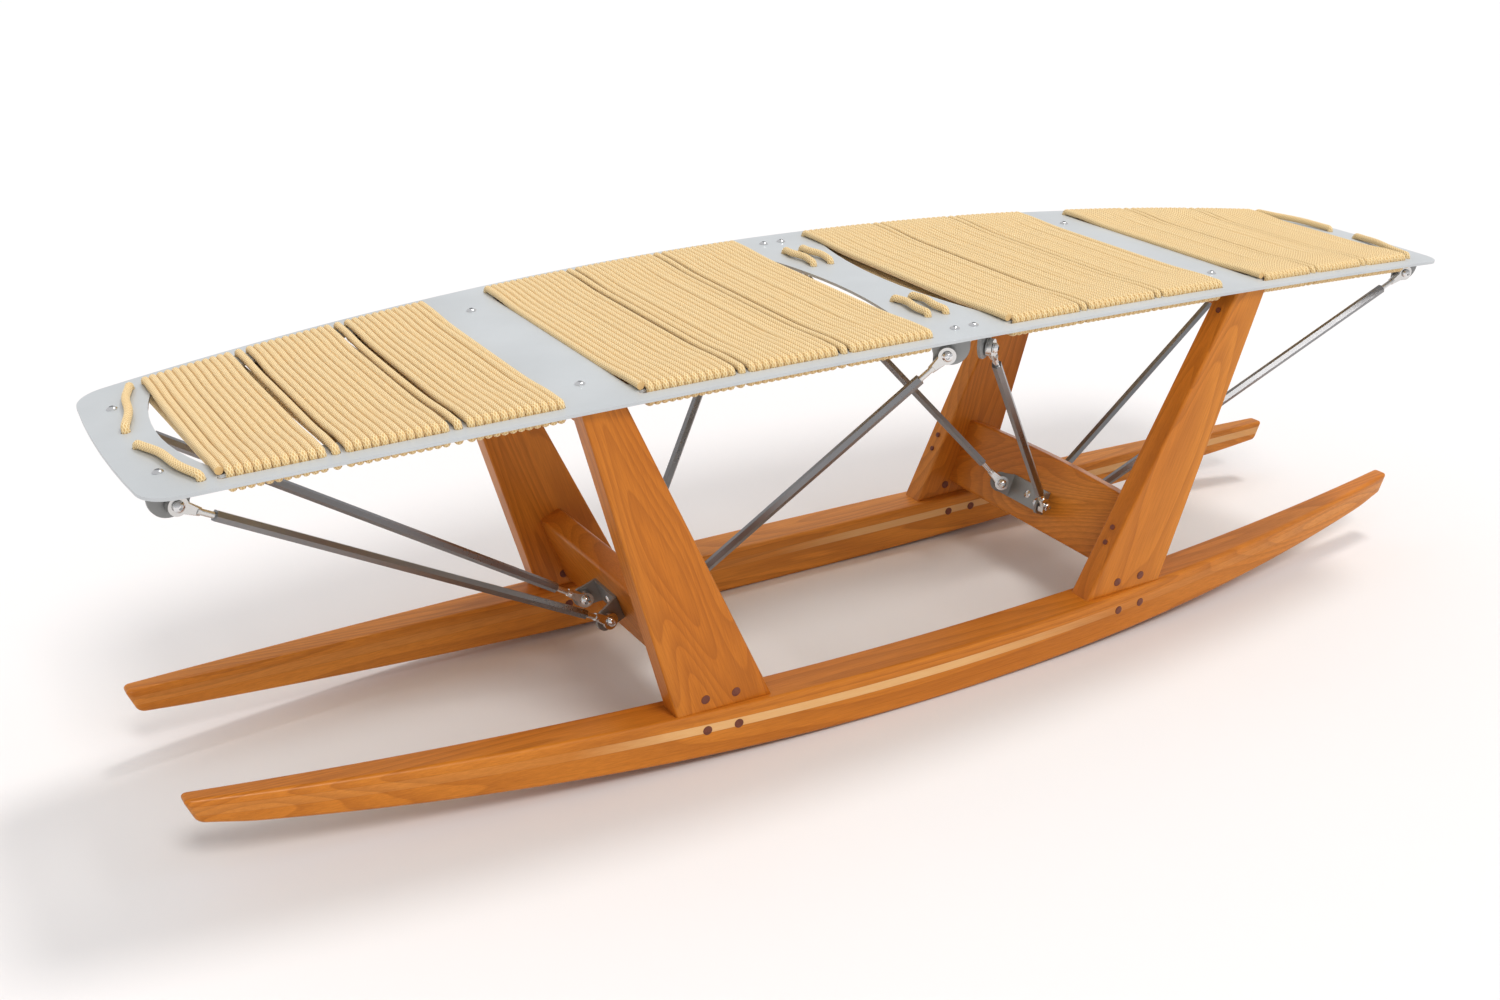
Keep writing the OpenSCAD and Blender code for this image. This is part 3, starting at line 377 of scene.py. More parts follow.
@dataclass(frozen=True)
class WoodFinish:
    """An oiled hardwood board with its grain along a chosen direction."""

    name: str
    pale: Colour
    mid: Colour
    dark: Colour
    turn: Triple = (0.0, 0.0, 0.0)
    shift: Triple = (0.0, 0.0, 0.0)
    cut: Cut = Cut.PLAIN
    ring_count: float = 21.0
    ring_share: float = 0.30
    streak_share: float = 0.36
    pore_share: float = 0.28
    gloss_coat: float = 0.18
    strip: Colour | None = None
    strip_from: float = -0.36
    strip_to: float = 0.16
    fade_in: float = 0.13
    fade_out: float = 0.26
    glue_lines: Triple = (0.0, 1.0, 2.67)

    def make(self) -> Material:
        """Makes the material.

        Growth rings are the contour lines of a smooth noise that is stretched along the
        grain, so they close into arches on a plain-cut face. Fine streaks, pores and slow
        patches of colour lie over them.

        Returns:
            The finished material.
        """
        sheet = NodeSheet(self.name)
        board = sheet.place(self.turn, (self.cut.value, 7.0, 7.0), self.shift)
        fibres = sheet.place(self.turn, (1.0, 28.0, 28.0), self.shift)
        growth = sheet.noise(board, 1.9, 1.2, 0.45, 0.25)
        rings = sheet.math("FRACT", sheet.math("MULTIPLY", growth, self.ring_count))
        line = sheet.math("MULTIPLY", sheet.ramp(rings, 0.25, 0.93),
                          sheet.ramp(rings, 1.0, 0.93))
        streaks = sheet.noise(fibres, 24.0, 4.0, 0.62)
        patches = sheet.noise(board, 1.1, 2.0, 0.5)
        pores = sheet.ramp(sheet.noise(fibres, 62.0, 2.0, 0.5), 0.66, 0.74)
        colour = sheet.blend(sheet.ramp(patches, 0.3, 0.7), self.mid, self.pale)
        colour = sheet.blend(sheet.ramp(streaks, 0.35, 0.8, 0.0, self.streak_share), colour,
                             self.dark)
        for mark, strength in ((line, self.ring_share), (pores, self.pore_share)):
            colour = sheet.blend(sheet.math("MULTIPLY", mark, strength), colour, self.dark)
        if self.strip is not None:
            colour = self.with_strip(sheet, colour, streaks)
        sheet.surface({"Base Color": colour, "Specular IOR Level": 0.3,
                       "Roughness": sheet.ramp(streaks, 0.2, 0.8, 0.30, 0.44),
                       "Coat Weight": self.gloss_coat, "Coat Roughness": 0.25})
        height = sheet.math("SUBTRACT", streaks, sheet.math("MULTIPLY", pores, 0.6))
        sheet.bump(height, 0.10, 0.0006)
        return sheet.material

    def with_strip(self, sheet: NodeSheet, colour: NodeSocket,
                   streaks: NodeSocket) -> NodeSocket:
        """Lays the pale glued strip and its dark glue lines over a runner's colour.

        The runner's own attributes say how deep a point lies under the upper glue line, with
        1 at the lower one, and how far along the bench it is.

        Args:
            sheet: the material being made.
            colour: the wood's colour without the strip.
            streaks: the fine streaks of the wood.
        Returns:
            The colour with the strip.
        """
        depth = sheet.add("ShaderNodeAttribute", attribute_name="glue_depth").outputs["Fac"]
        inside = sheet.math("MULTIPLY", sheet.ramp(depth, -0.01, 0.01),
                            sheet.ramp(depth, 1.01, 0.99))
        along = sheet.add("ShaderNodeAttribute", attribute_name="along").outputs["Fac"]
        strong = sheet.math(
            "MULTIPLY", sheet.ramp(along, self.strip_from - self.fade_in, self.strip_from),
            sheet.ramp(along, self.strip_to + self.fade_out, self.strip_to))
        share = sheet.math("MULTIPLY", inside, sheet.ramp(strong, 0.0, 1.0, 0.10, 0.95))
        maple = sheet.blend(sheet.ramp(streaks, 0.35, 0.8, 0.0, 0.35), self.strip, self.pale)
        colour = sheet.blend(share, colour, maple)
        for place in self.glue_lines:
            off = sheet.math("ABSOLUTE", sheet.math("SUBTRACT", depth, place))
            colour = sheet.blend(sheet.ramp(off, 0.045, 0.0, 0.0, 0.28), colour, self.dark)
        return colour


@dataclass(frozen=True)
class MetalFinish:
    """A metal with a fine grain on its surface."""

    name: str
    colour: Colour
    roughness: float
    metallic: float = 1.0
    grain: float = 900.0
    grain_depth: float = 0.05
    mottle: float = 0.86

    def make(self) -> Material:
        """Makes the material: a flat colour with slow mottling, fine grain and matching gloss.

        Returns:
            The finished material.
        """
        sheet = NodeSheet(self.name)
        where = sheet.place()
        grain = sheet.noise(where, self.grain, 2.0, 0.6)
        slow = sheet.noise(where, 9.0, 3.0, 0.5)
        deep = tuple(self.mottle * c for c in self.colour[:3]) + (1.0,)
        colour = sheet.blend(sheet.ramp(slow, 0.3, 0.7, 0.0, 0.7), self.colour, deep)
        gloss = sheet.ramp(sheet.math("ADD", grain, slow), 0.6, 1.4,
                           self.roughness * 0.85, self.roughness * 1.15)
        sheet.surface({"Base Color": colour, "Metallic": self.metallic, "Roughness": gloss})
        sheet.bump(grain, self.grain_depth, 0.0002)
        return sheet.material


@dataclass(frozen=True)
class RopeFinish:
    """A braided straw-coloured rope that reads the piece's own UV map."""

    name: str = "rope_braid"
    light: Colour = (1.0, 0.815, 0.480, 1.0)
    # painted shade: this darker colour fills the low places between the braid's strands, and it
    # also colours fine random flecks of fibre
    painted_shade_and_fleck: Colour = (0.72, 0.485, 0.215, 1.0)
    gold: Colour = (0.90, 0.65, 0.325, 1.0)
    strands: float = 8.0
    lay: float = 3.9 * MM

    def make(self) -> Material:
        """Makes the material.

        Two families of strands cross: one wave turns right-handed round the rope and one
        left-handed, and the higher of the two lies on top.

        Returns:
            The finished material.
        """
        sheet = NodeSheet(self.name)
        uv = sheet.add("ShaderNodeUVMap", uv_map="rope").outputs[0]
        split = sheet.add("ShaderNodeSeparateXYZ", {0: uv})
        around = sheet.math("MULTIPLY", split.outputs[0], FULL_TURN * self.strands)
        along = sheet.math("MULTIPLY", split.outputs[1], FULL_TURN / self.lay)
        right = sheet.math("SINE", sheet.math("ADD", around, along))
        left = sheet.math("SINE", sheet.math("SUBTRACT", around, along))
        top = sheet.math("MAXIMUM", right, left)
        plait = sheet.ramp(top, -0.2, 1.0)
        where = sheet.place()
        fuzz = sheet.noise(where, 1400.0, 3.0, 0.6)
        tint = sheet.noise(where, 34.0, 3.0, 0.55)
        # painted shade: where the braid lies low between the crossing strands it takes the darker
        # colour
        colour = sheet.blend(plait, self.painted_shade_and_fleck, self.light)
        colour = sheet.blend(sheet.ramp(tint, 0.35, 0.7, 0.0, 0.35), colour, self.gold)
        # fine random flecks of fibre in the same darker colour, the rope's own varying tone
        colour = sheet.blend(sheet.ramp(fuzz, 0.55, 0.8, 0.0, 0.35), colour, self.painted_shade_and_fleck)
        sheet.surface({"Base Color": colour, "Roughness": 0.86, "Sheen Weight": 0.25,
                       "Sheen Roughness": 0.5})
        height = sheet.math("ADD", plait, sheet.math("MULTIPLY", fuzz, 0.35))
        sheet.bump(height, 0.75, 0.0008)
        return sheet.material


CHERRY = dict(pale=(0.76, 0.320, 0.050, 1.0), mid=(0.57, 0.190, 0.014, 1.0),
              dark=(0.28, 0.070, 0.004, 1.0))
MAPLE_STRIP: Colour = (0.80, 0.52, 0.25, 1.0)
WALNUT = dict(pale=(0.260, 0.090, 0.055, 1.0), mid=(0.200, 0.066, 0.040, 1.0),
              dark=(0.100, 0.032, 0.020, 1.0))


# ---- shapes


def rounded_slab(name: str, outline: Array, thick: float, radius: float, place: Array,
                 steps: int = 5) -> Object:
    """A flat board with rounded arrises round both faces.

    The outline is carried across the thickness; near either face it is set in by
    r(1 - cos t) while it moves out by r sin t, which rolls a quarter round on the edge.

    Args:
        name: the piece's name.
        outline: (n, 2) convex outline, anticlockwise, in the board's own plane.
        thick: the board's thickness.
        radius: radius of the arrises.
        place: 4 by 3 array: origin, first axis, second axis and normal.
        steps: facets of a quarter round.
    Returns:
        The new object.
    """
    before, after = np.roll(outline, 1, axis=0), np.roll(outline, -1, axis=0)
    e1, e2 = unit(outline - before), unit(after - outline)
    n1, n2 = np.stack([e1[:, 1], -e1[:, 0]], 1), np.stack([e2[:, 1], -e2[:, 0]], 1)
    corner = (n1 + n2) / (1.0 + np.sum(n1 * n2, axis=1, keepdims=True))
    hold = 0.6 * MM
    t = np.linspace(0.0, QUARTER_TURN, steps + 1)
    inset = np.concatenate([[radius + hold], radius * (1 - np.sin(t)), [0.0]])
    rise = np.concatenate([[thick / 2], thick / 2 - radius * (1 - np.cos(t)),
                           [thick / 2 - radius - hold]])
    inset, rise = np.concatenate([inset, inset[::-1]]), np.concatenate([rise, -rise[::-1]])
    flat = outline[None] - inset[:, None, None] * corner[None]
    points = (place[0] + flat[..., :1] * place[1] + flat[..., 1:] * place[2]
              + rise[:, None, None] * place[3]).reshape(-1, 3)
    inward = bool(np.dot(np.cross(place[1], place[2]), place[3]) > 0)
    return make_piece(name, points, tube_faces(len(inset), len(outline), inward=inward))


@dataclass
class Runner:
    """One glued runner: a rounded section carried along its curved path."""

    side: int
    name: str
    sizes: BenchSizes = SIZES
    arris: float = 5.0 * MM
    arc_points: int = 5
    hold: float = 0.7 * MM
    tip_round: float = 7.5 * MM
    tip_inset: float = 5.55 * MM
    tip_rake: float = 11.5 * MM
    rake_run: float = 70.0 * MM
    rows: int = 120
    tip_rows: int = 6

    def section(self, x: Array, inset: Array) -> tuple[Array, Array]:
        """Rounded rectangles across the runner, one for each x.

        The four corner arcs keep their centres while the whole outline is set in. A point just
        past each end of an arc holds the flat face flat.

        Args:
            x: places along the runner.
            inset: how far each section is set in.
        Returns:
            Arrays of y and z, one row for each x.
        """
        s = self.sizes
        lo, hi = s.dip(x, 0.0, s.rocker_r) + self.arris, s.runner_top(x) - self.arris
        y0, y1 = s.runner_in(x) + self.arris, s.runner_out(x) - self.arris
        a = np.linspace(0.0, QUARTER_TURN, self.arc_points) + QUARTER_TURN * np.arange(4)[:, None]
        found = []
        for centres, wave, lead in (((y1, y0, y0, y1), np.cos(a), -np.sin(a)),
                                    ((hi, hi, lo, lo), np.sin(a), np.cos(a))):
            arc = np.stack(centres, 1)[..., None] + (self.arris - inset)[:, None, None] * wave
            first, last = (arc[..., :1] - self.hold * lead[:, :1],
                           arc[..., -1:] + self.hold * lead[:, -1:])
            found.append(np.concatenate([first, arc, last], axis=-1).reshape(len(x), -1))
        return found[0], found[1]

    def build(self) -> Object:
        """Builds the runner with raked, rounded tips.

        Returns:
            The new object, with its depth under the upper glue line as an attribute.
        """
        s = self.sizes
        half = s.runner_half_len
        body = np.linspace(-half + self.tip_round, half - self.tip_round, self.rows)
        t = np.linspace(0.0, QUARTER_TURN, self.tip_rows)[1:]
        tip_x = half - self.tip_round * (1 - np.sin(t))
        tip_in = self.tip_inset * (1 - np.cos(t))
        x = np.concatenate([-tip_x[::-1], body, tip_x])
        inset = np.concatenate([tip_in[::-1], np.zeros(self.rows), tip_in])
        y, z = self.section(x, inset)
        hi, lo = s.runner_top(x)[:, None], s.dip(x, 0.0, s.rocker_r)[:, None]
        share = smoothstep((np.abs(x) - half + self.rake_run) / self.rake_run)[:, None]
        rake = self.tip_rake * share * (hi - z) / (hi - lo)
        xx = x[:, None] - np.sign(x)[:, None] * rake
        points = np.stack([xx, self.side * y, z], axis=-1).reshape(-1, 3)
        piece = make_piece(self.name, points, tube_faces(*y.shape, inward=self.side < 0))
        glue = s.dip(points[:, 0], s.runner_h - s.layer_top, s.glue_r)
        for key, value in (("glue_depth", (glue - points[:, 2]) / s.layer_maple),
                           ("along", points[:, 0])):
            layer = piece.data.attributes.new(key, "FLOAT", "POINT")
            layer.data.foreach_set("value", value.astype(np.float32))
        return piece

    def dress(self, piece: Object) -> None:
        """Gives the runner its cherry and its pale strip.

        Args:
            piece: the runner.
        """
        near = self.side < 0
        finish = WoodFinish(f"cherry_{self.name}", **CHERRY, shift=(0.3 * self.side, 0.11, 0.4),
                            cut=Cut.QUARTER, strip=MAPLE_STRIP,
                            strip_from=-0.33 if near else 0.12, strip_to=0.02 if near else 0.70)
        side = "left" if self.side > 0 else "right"
        nodes = [f"runner_{side}_{layer}" for layer in ("top", "maple", "base")]
        put(piece, finish.make(), nodes)


@dataclass
class Leg:
    """One raking leg, a tapered board that leans outward."""

    end: int
    side: int
    sizes: BenchSizes = SIZES
    arris: float = 3.0 * MM
    sink: float = 1.5 * MM
    top_gap: float = 0.2 * MM
    grain_rise: float = 0.42

    @property
    def label(self) -> str:
        """Name of the leg's node."""
        return f"leg_{'front' if self.end > 0 else 'rear'}_{'left' if self.side > 0 else 'right'}"

    def build(self) -> Object:
        """Builds the leg from its four corners in side view.

        Returns:
            The new object.
        """
        s = self.sizes
        foot = np.array([s.leg_foot_x - s.leg_foot_w / 2, s.leg_foot_x + s.leg_foot_w / 2])
        top = np.array([s.leg_top_x + s.leg_top_w / 2, s.leg_top_x - s.leg_top_w / 2])
        lift = np.cos(s.leg_lean)
        low = (s.runner_top(foot) - self.sink - s.foot_z) / lift
        high = (s.under_z(top) - self.top_gap - s.foot_z) / lift
        outline = np.concatenate([np.stack([foot, low], 1), np.stack([top, high], 1)])
        tilt = np.array([0.0, math.sin(s.leg_lean), math.cos(s.leg_lean)])
        out = np.array([0.0, math.cos(s.leg_lean), -math.sin(s.leg_lean)])
        flip = np.array([self.end, self.side, 1.0])
        origin = np.array([0.0, s.leg_out_y, s.foot_z]) - out * s.leg_t / 2
        place = np.stack([origin, AXIS_X, tilt, out]) * flip
        return rounded_slab(f"{self.label}_board", outline, s.leg_t, self.arris, place)

    def dress(self, piece: Object) -> None:
        """Gives the leg its cherry with the grain running up the rake.

        Args:
            piece: the leg.
        """
        s = self.sizes
        rake = -math.atan2(self.grain_rise, s.leg_top_x - s.leg_foot_x)
        turn = rake if self.end > 0 else -math.pi - rake
        seed = 1.7 * self.end + 0.9 * self.side
        finish = WoodFinish(f"cherry_{self.label}", **CHERRY, turn=(0.35, turn, 0.0),
                            shift=(seed, seed * 0.37, 0.21))
        put(piece, finish.make(), [self.label])


@dataclass
class Crossbars:
    """The lower, arched crossbar and the upper crossbar at one end."""

    end: int
    sizes: BenchSizes = SIZES
    arris: float = 4.0 * MM
    into_leg: float = 7.0 * MM
    plate_gap: float = 0.6 * MM
    arch_points: int = 15

    @property
    def label(self) -> str:
        """Which end of the bench this is."""
        return "front" if self.end > 0 else "rear"

    @property
    def half(self) -> float:
        """Half a crossbar's length, with its ends let into the legs."""
        return self.sizes.leg_out_y - self.sizes.leg_t + self.into_leg

    def build_lower(self) -> Object:
        """Builds the lower crossbar: a straight lower edge and an arched upper one.

        Returns:
            The new object.
        """
        s, half = self.sizes, self.half
        y = np.linspace(half, -half, self.arch_points)
        arch = s.bar_up - s.bar_arch * (y / half) ** 2
        outline = np.concatenate([[[-half, -s.bar_down], [half, -s.bar_down]],
                                  np.stack([y, arch], 1)])
        axis = np.array([math.sin(s.bar_slope), 0.0, math.cos(s.bar_slope)])
        out = np.array([math.cos(s.bar_slope), 0.0, -math.sin(s.bar_slope)])
        flip = np.array([self.end, 1.0, 1.0])
        place = np.stack([np.array([s.bar_x, 0.0, s.bar_z]), AXIS_Y, axis, out]) * flip
        return rounded_slab(f"crossbar_lower_{self.label}_board", outline, s.bar_t, self.arris,
                            place)

    def build_upper(self) -> Object:
        """Builds the upper crossbar, a plain rounded bar under the plate.

        Returns:
            The new object.
        """
        s, half = self.sizes, self.half
        top = float(s.under_z(s.top_bar_x)) - self.plate_gap
        low = top - s.top_bar_h
        outline = np.array([[-half, low], [half, low], [half, top], [-half, top]])
        flip = np.array([self.end, 1.0, 1.0])
        place = np.stack([s.top_bar_x * AXIS_X, AXIS_Y, AXIS_Z, AXIS_X]) * flip
        return rounded_slab(f"crossbar_upper_{self.label}_board", outline, s.top_bar_w,
                            self.arris, place)

    def dress(self, lower: Object, upper: Object) -> None:
        """Gives both crossbars their cherry with the grain across the bench.

        Args:
            lower: the lower crossbar.
            upper: the upper crossbar.
        """
        for piece, kind, seed in ((lower, "lower", 2.3), (upper, "upper", 5.1)):
            finish = WoodFinish(f"cherry_crossbar_{kind}_{self.label}", **CHERRY,
                                turn=(0.0, self.end * self.sizes.bar_slope, QUARTER_TURN),
                                shift=(seed, 0.7 * self.end, seed))
            put(piece, finish.make(), [f"crossbar_{kind}_{self.label}"])


@dataclass
class Plugs:
    """The walnut plugs: shallow domes a hair proud of the wood round them."""

    sizes: BenchSizes = SIZES
    sides: int = 32
    rings: tuple[float, ...] = (1.0, 1.0, 0.96, 0.6, 0.2)
    rises: tuple[float, ...] = (-1.2 * MM, 0.35 * MM, 0.5 * MM, 0.62 * MM, 0.68 * MM)
    foot_r: float = 0.55 * SIZES.peg_d
    edge_z: Triple = (127.0 * MM, 145.0 * MM, 401.0 * MM)

    def domes(self, name: str, centres: Array, normals: Array, r: float) -> Object:
        """Domed discs, one at each centre: rings that shrink as they rise along the normal.

        Args:
            name: the piece's name.
            centres: (n, 3) places on the wood's face.
            normals: (n, 3) directions out of the wood.
            r: the plugs' radius.
        Returns:
            The new object.
        """
        normals = unit(normals)
        first = unit(np.cross(normals, np.array([0.31, 0.2, 0.93])))
        second = np.cross(normals, first)
        a = np.linspace(0.0, FULL_TURN, self.sides, endpoint=False)
        ring = (np.cos(a)[:, None] * first[:, None] + np.sin(a)[:, None] * second[:, None])
        scale, rise = np.array(self.rings) * r, np.array(self.rises)
        points = (centres[:, None, None] + scale[None, :, None, None] * ring[:, None]
                  + rise[None, :, None, None] * normals[:, None, None])
        rows = len(scale)
        faces = [face for k in range(len(centres))
                 for face in tube_faces(rows, self.sides, k * rows * self.sides)]
        return make_piece(name, points.reshape(-1, 3), faces)

    def peg_x(self) -> Array:
        """Places of the foot plugs along the bench.

        Returns:
            One x for each plug of a side, at both ends.
        """
        s = self.sizes
        x = s.leg_foot_x + s.peg_shift + np.array([-0.5, 0.5]) * s.peg_pitch
        return np.concatenate([x, -x])

    def build(self) -> None:
        """Builds and dresses the plugs of the runners, the legs and the crossbar joints."""
        s = self.sizes
        x = self.peg_x()
        walnut = WoodFinish("walnut_plugs", **WALNUT, turn=(0.0, 0.0, QUARTER_TURN)).make()
        z = s.runner_top(x) - s.peg_down
        centres, normals = [], []
        for side in (1.0, -1.0):
            for face, way, r in ((s.runner_out(x), side, s.plan_r),
                                 (s.runner_in(x), -side, s.runner_in_r)):
                centres.append(np.stack([x, side * face, z], 1))
                normals.append(np.stack([side * way * x / r, np.full_like(x, way), 0 * x], 1))
        piece = self.domes("runner_plug_domes", np.concatenate(centres),
                           np.concatenate(normals), self.foot_r)
        put(piece, walnut, ["runner_plugs"])
        centres, normals = [], []
        rise = s.runner_top(x) + s.peg_up - s.foot_z
        for side in (1.0, -1.0):
            out = np.array([0.0, side * math.cos(s.leg_lean), -math.sin(s.leg_lean)])
            up = np.array([0.0, side * math.sin(s.leg_lean), math.cos(s.leg_lean)])
            base = np.array([0.0, side * s.leg_out_y, s.foot_z])
            face = base + x[:, None] * AXIS_X + rise[:, None] * up
            centres += [face, face - out * s.leg_t]
            normals += [np.tile(out, (len(x), 1)), np.tile(-out, (len(x), 1))]
        piece = self.domes("leg_plug_domes", np.concatenate(centres), np.concatenate(normals),
                           self.foot_r)
        put(piece, walnut, ["leg_plugs"])
        self.build_edge_plugs(walnut)

    def build_edge_plugs(self, walnut: Material) -> None:
        """Builds the small plugs in the legs' narrow inboard edges.

        Args:
            walnut: the plugs' material.
        """
        s = self.sizes
        rise = float(s.under_z(s.leg_top_x)) + s.plate_t - s.foot_z
        run = (s.leg_top_x - s.leg_top_w / 2) - (s.leg_foot_x - s.leg_foot_w / 2)
        z = np.array(self.edge_z)
        x = s.leg_foot_x - s.leg_foot_w / 2 + run / rise * (z - s.foot_z)
        y = s.leg_out_y - s.leg_t / 2 + np.tan(s.leg_lean) * (z - s.foot_z)
        edge = unit(np.array([-rise, 0.0, run]))
        flips = np.array([[e, d, 1.0] for e in (1, -1) for d in (1, -1)])
        centres = (np.stack([x, y, z], 1)[None] * flips[:, None]).reshape(-1, 3)
        normals = (np.tile(edge, (len(z), 1))[None] * flips[:, None]).reshape(-1, 3)
        piece = self.domes("edge_plug_domes", centres, normals, s.bar_peg_d / 2)
        put(piece, walnut, ["crossbar_plugs"])


# ---- rope


def rope_tube(name: str, paths: list[Array], radius: float, sides: int, across: Array,
              swell: float = 0.0) -> Object:
    """Round rope carried along one or more paths, with a UV map of turn and length.

    Each ring lies square to the path: its first axis is the reference direction with the
    part along the path taken away, and its second is square to both. With a swell, the
    radius follows the crossing strands of the braid.

    Args:
        name: the piece's name.
        paths: the (n, 3) centre lines.
        radius: the rope's radius.
        sides: points in a ring.
        across: a reference direction that no path runs along.
        swell: how far the strands stand out, in metres.
    Returns:
        The new object.
    """
    points, faces, uvs, start = [], [], [], 0
    a = np.linspace(0.0, FULL_TURN, sides, endpoint=False)
    for path in paths:
        ahead = unit(np.gradient(path, axis=0))
        first = unit(across - np.sum(across * ahead, axis=1, keepdims=True) * ahead)
        second = np.cross(ahead, first)
        length = np.concatenate([[0.0], np.cumsum(np.linalg.norm(np.diff(path, axis=0), axis=1))])
        turn = RopeFinish.strands * a[None]
        wave = FULL_TURN * length[:, None] / RopeFinish.lay
        braid = np.maximum(np.sin(turn + wave), np.sin(turn - wave))
        r = radius + swell * (braid - 0.6)
        ring = (path[:, None] + (r * np.cos(a))[..., None] * first[:, None]
                + (r * np.sin(a))[..., None] * second[:, None])
        rows = len(path)
        i, j = np.divmod(np.arange((rows - 1) * sides), sides)
        u = np.stack([j, j + 1, j + 1, j], axis=1) / sides
        v = length[np.stack([i, i, i + 1, i + 1], axis=1)]
        uvs += [np.stack([u, v], axis=-1).reshape(-1, 2), np.zeros((2 * sides, 2))]
        faces += tube_faces(rows, sides, start)
        points.append(ring.reshape(-1, 3))
        start += rows * sides
    piece = make_piece(name, np.concatenate(points), faces, sharp_deg=70.0)
    layer = piece.data.uv_layers.new(name="rope")
    layer.data.foreach_set("uv", np.concatenate(uvs).astype(np.float32).ravel())
    return piece


@dataclass
class RopePanel:
    """One panel of the seat: a single rope wound round the plate through its slots."""

    node: str
    bundle: int
    sizes: BenchSizes = SIZES
    radius: float = 3.95 * MM
    sides: int = 12
    sag: float = 3.3 * MM
    corner: float = 4.1 * MM
    slack: float = 6.0 * MM
    sag_spread: float = 0.18
    wander_lone: float = 1.44 * MM
    wander_bundled: float = 0.252 * MM
    wander_most: float = 1.9 * MM
    top_points: int = 27
    bend_points: int = 6
    under_points: int = 13

    def turn_places(self) -> Array:
        """Places the turns along the bench: bundle, single, bundle, single, bundle.

        Returns:
            The middle of each turn.
        """
        lo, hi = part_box(self.node)
        pitch = self.sizes.rope_pitch
        gap = (hi.x - lo.x - (3 * self.bundle + 2) * pitch) / 4
        group = np.repeat(np.arange(5), [self.bundle, 1, self.bundle, 1, self.bundle])
        return lo.x + pitch * (np.arange(len(group)) + 0.5) + gap * group

    def loop(self) -> tuple[Array, Array, Array]:
        """One turn in a section across the plate.

        It runs over the top from right to left, round a quarter circle into the left slot,
        down, round again, back underneath, and up through the right slot.

        Returns:
            How far across (as a share of the slot's place), the offset from that place, and
            the height over the plate, all along the turn.
        """
        s = self.sizes
        high = s.rope_gap + self.radius
        low = -s.plate_t - s.rope_gap - self.radius - self.slack
        t = np.linspace(0.0, QUARTER_TURN, self.bend_points)
        top = np.sin(np.linspace(-QUARTER_TURN, QUARTER_TURN, self.top_points))
        under = np.linspace(1.0, -1.0, self.under_points)
        c = self.corner
        bend_off = np.concatenate([c * (np.sin(t) - 1), c * (np.cos(t) - 1)])
        bend_h = np.concatenate([high - c * (1 - np.cos(t)), low + c * (1 - np.sin(t))])
        slot = np.ones_like(bend_off)
        sign = np.concatenate([top, slot, under, -slot])
        off = np.concatenate([-c * np.abs(top), bend_off, -c * np.abs(under), bend_off[::-1]])
        h = np.concatenate([np.full_like(top, high), bend_h, np.full_like(under, low),
                            bend_h[::-1]])
        return sign, off, h

    def build(self) -> Object:
        """Winds the rope: straight across on top, and on to the next turn underneath.

        The top run sags towards the middle of the seat and wanders a little there, by random
        amounts that are larger for a single turn than for one in a bundle.

        Returns:
            The new object.
        """
        s = self.sizes
        rng = np.random.default_rng(len(self.node) * 7 + self.bundle)
        x = self.turn_places()
        sign, off, h = self.loop()
        slot_points = 2 * self.bend_points
        step = np.append(np.diff(x), 0.0)
        advance = np.concatenate([np.zeros(self.top_points + slot_points),
                                  np.linspace(0, 1, self.under_points), np.ones(slot_points)])
        xs = x[:, None] + step[:, None] * advance
        slot_y = s.half_w(xs, s.slot_inset)
        y = sign * (slot_y + off)
        rail = s.half_w(xs, s.rail_edge_inset)
        mid = np.clip(1 - (np.abs(y) / rail) ** 2, 0.0, 1.0)
        over = (np.arange(len(sign)) < self.top_points).astype(float)
        loose = 1.0 + self.sag_spread * rng.standard_normal(len(x))[:, None]
        height = h - self.sag * np.clip(loose, 0.6, 1.05) * smoothstep(mid * 1.4) * over
        lone = np.isin(np.arange(len(x)), [self.bundle, 2 * self.bundle + 1])
        drift = (np.where(lone, self.wander_lone, self.wander_bundled)
                 * rng.standard_normal(len(x)))
        drift = np.clip(drift, -self.wander_most, self.wander_most)
        xs = xs + drift[:, None] * mid * over
        path = s.crown_point(xs.ravel(), y.ravel(), height.ravel())
        keep = np.concatenate([[True], np.linalg.norm(np.diff(path, axis=0), axis=1) > 0.2 * MM])
        path = path[keep][:-slot_points - 1]
        return rope_tube(f"{self.node}_rope", [path], self.radius, self.sides, AXIS_X)

    def dress(self, piece: Object, finish: Material) -> None:
        """Gives the panel its braid."""
        put(piece, finish, [self.node])


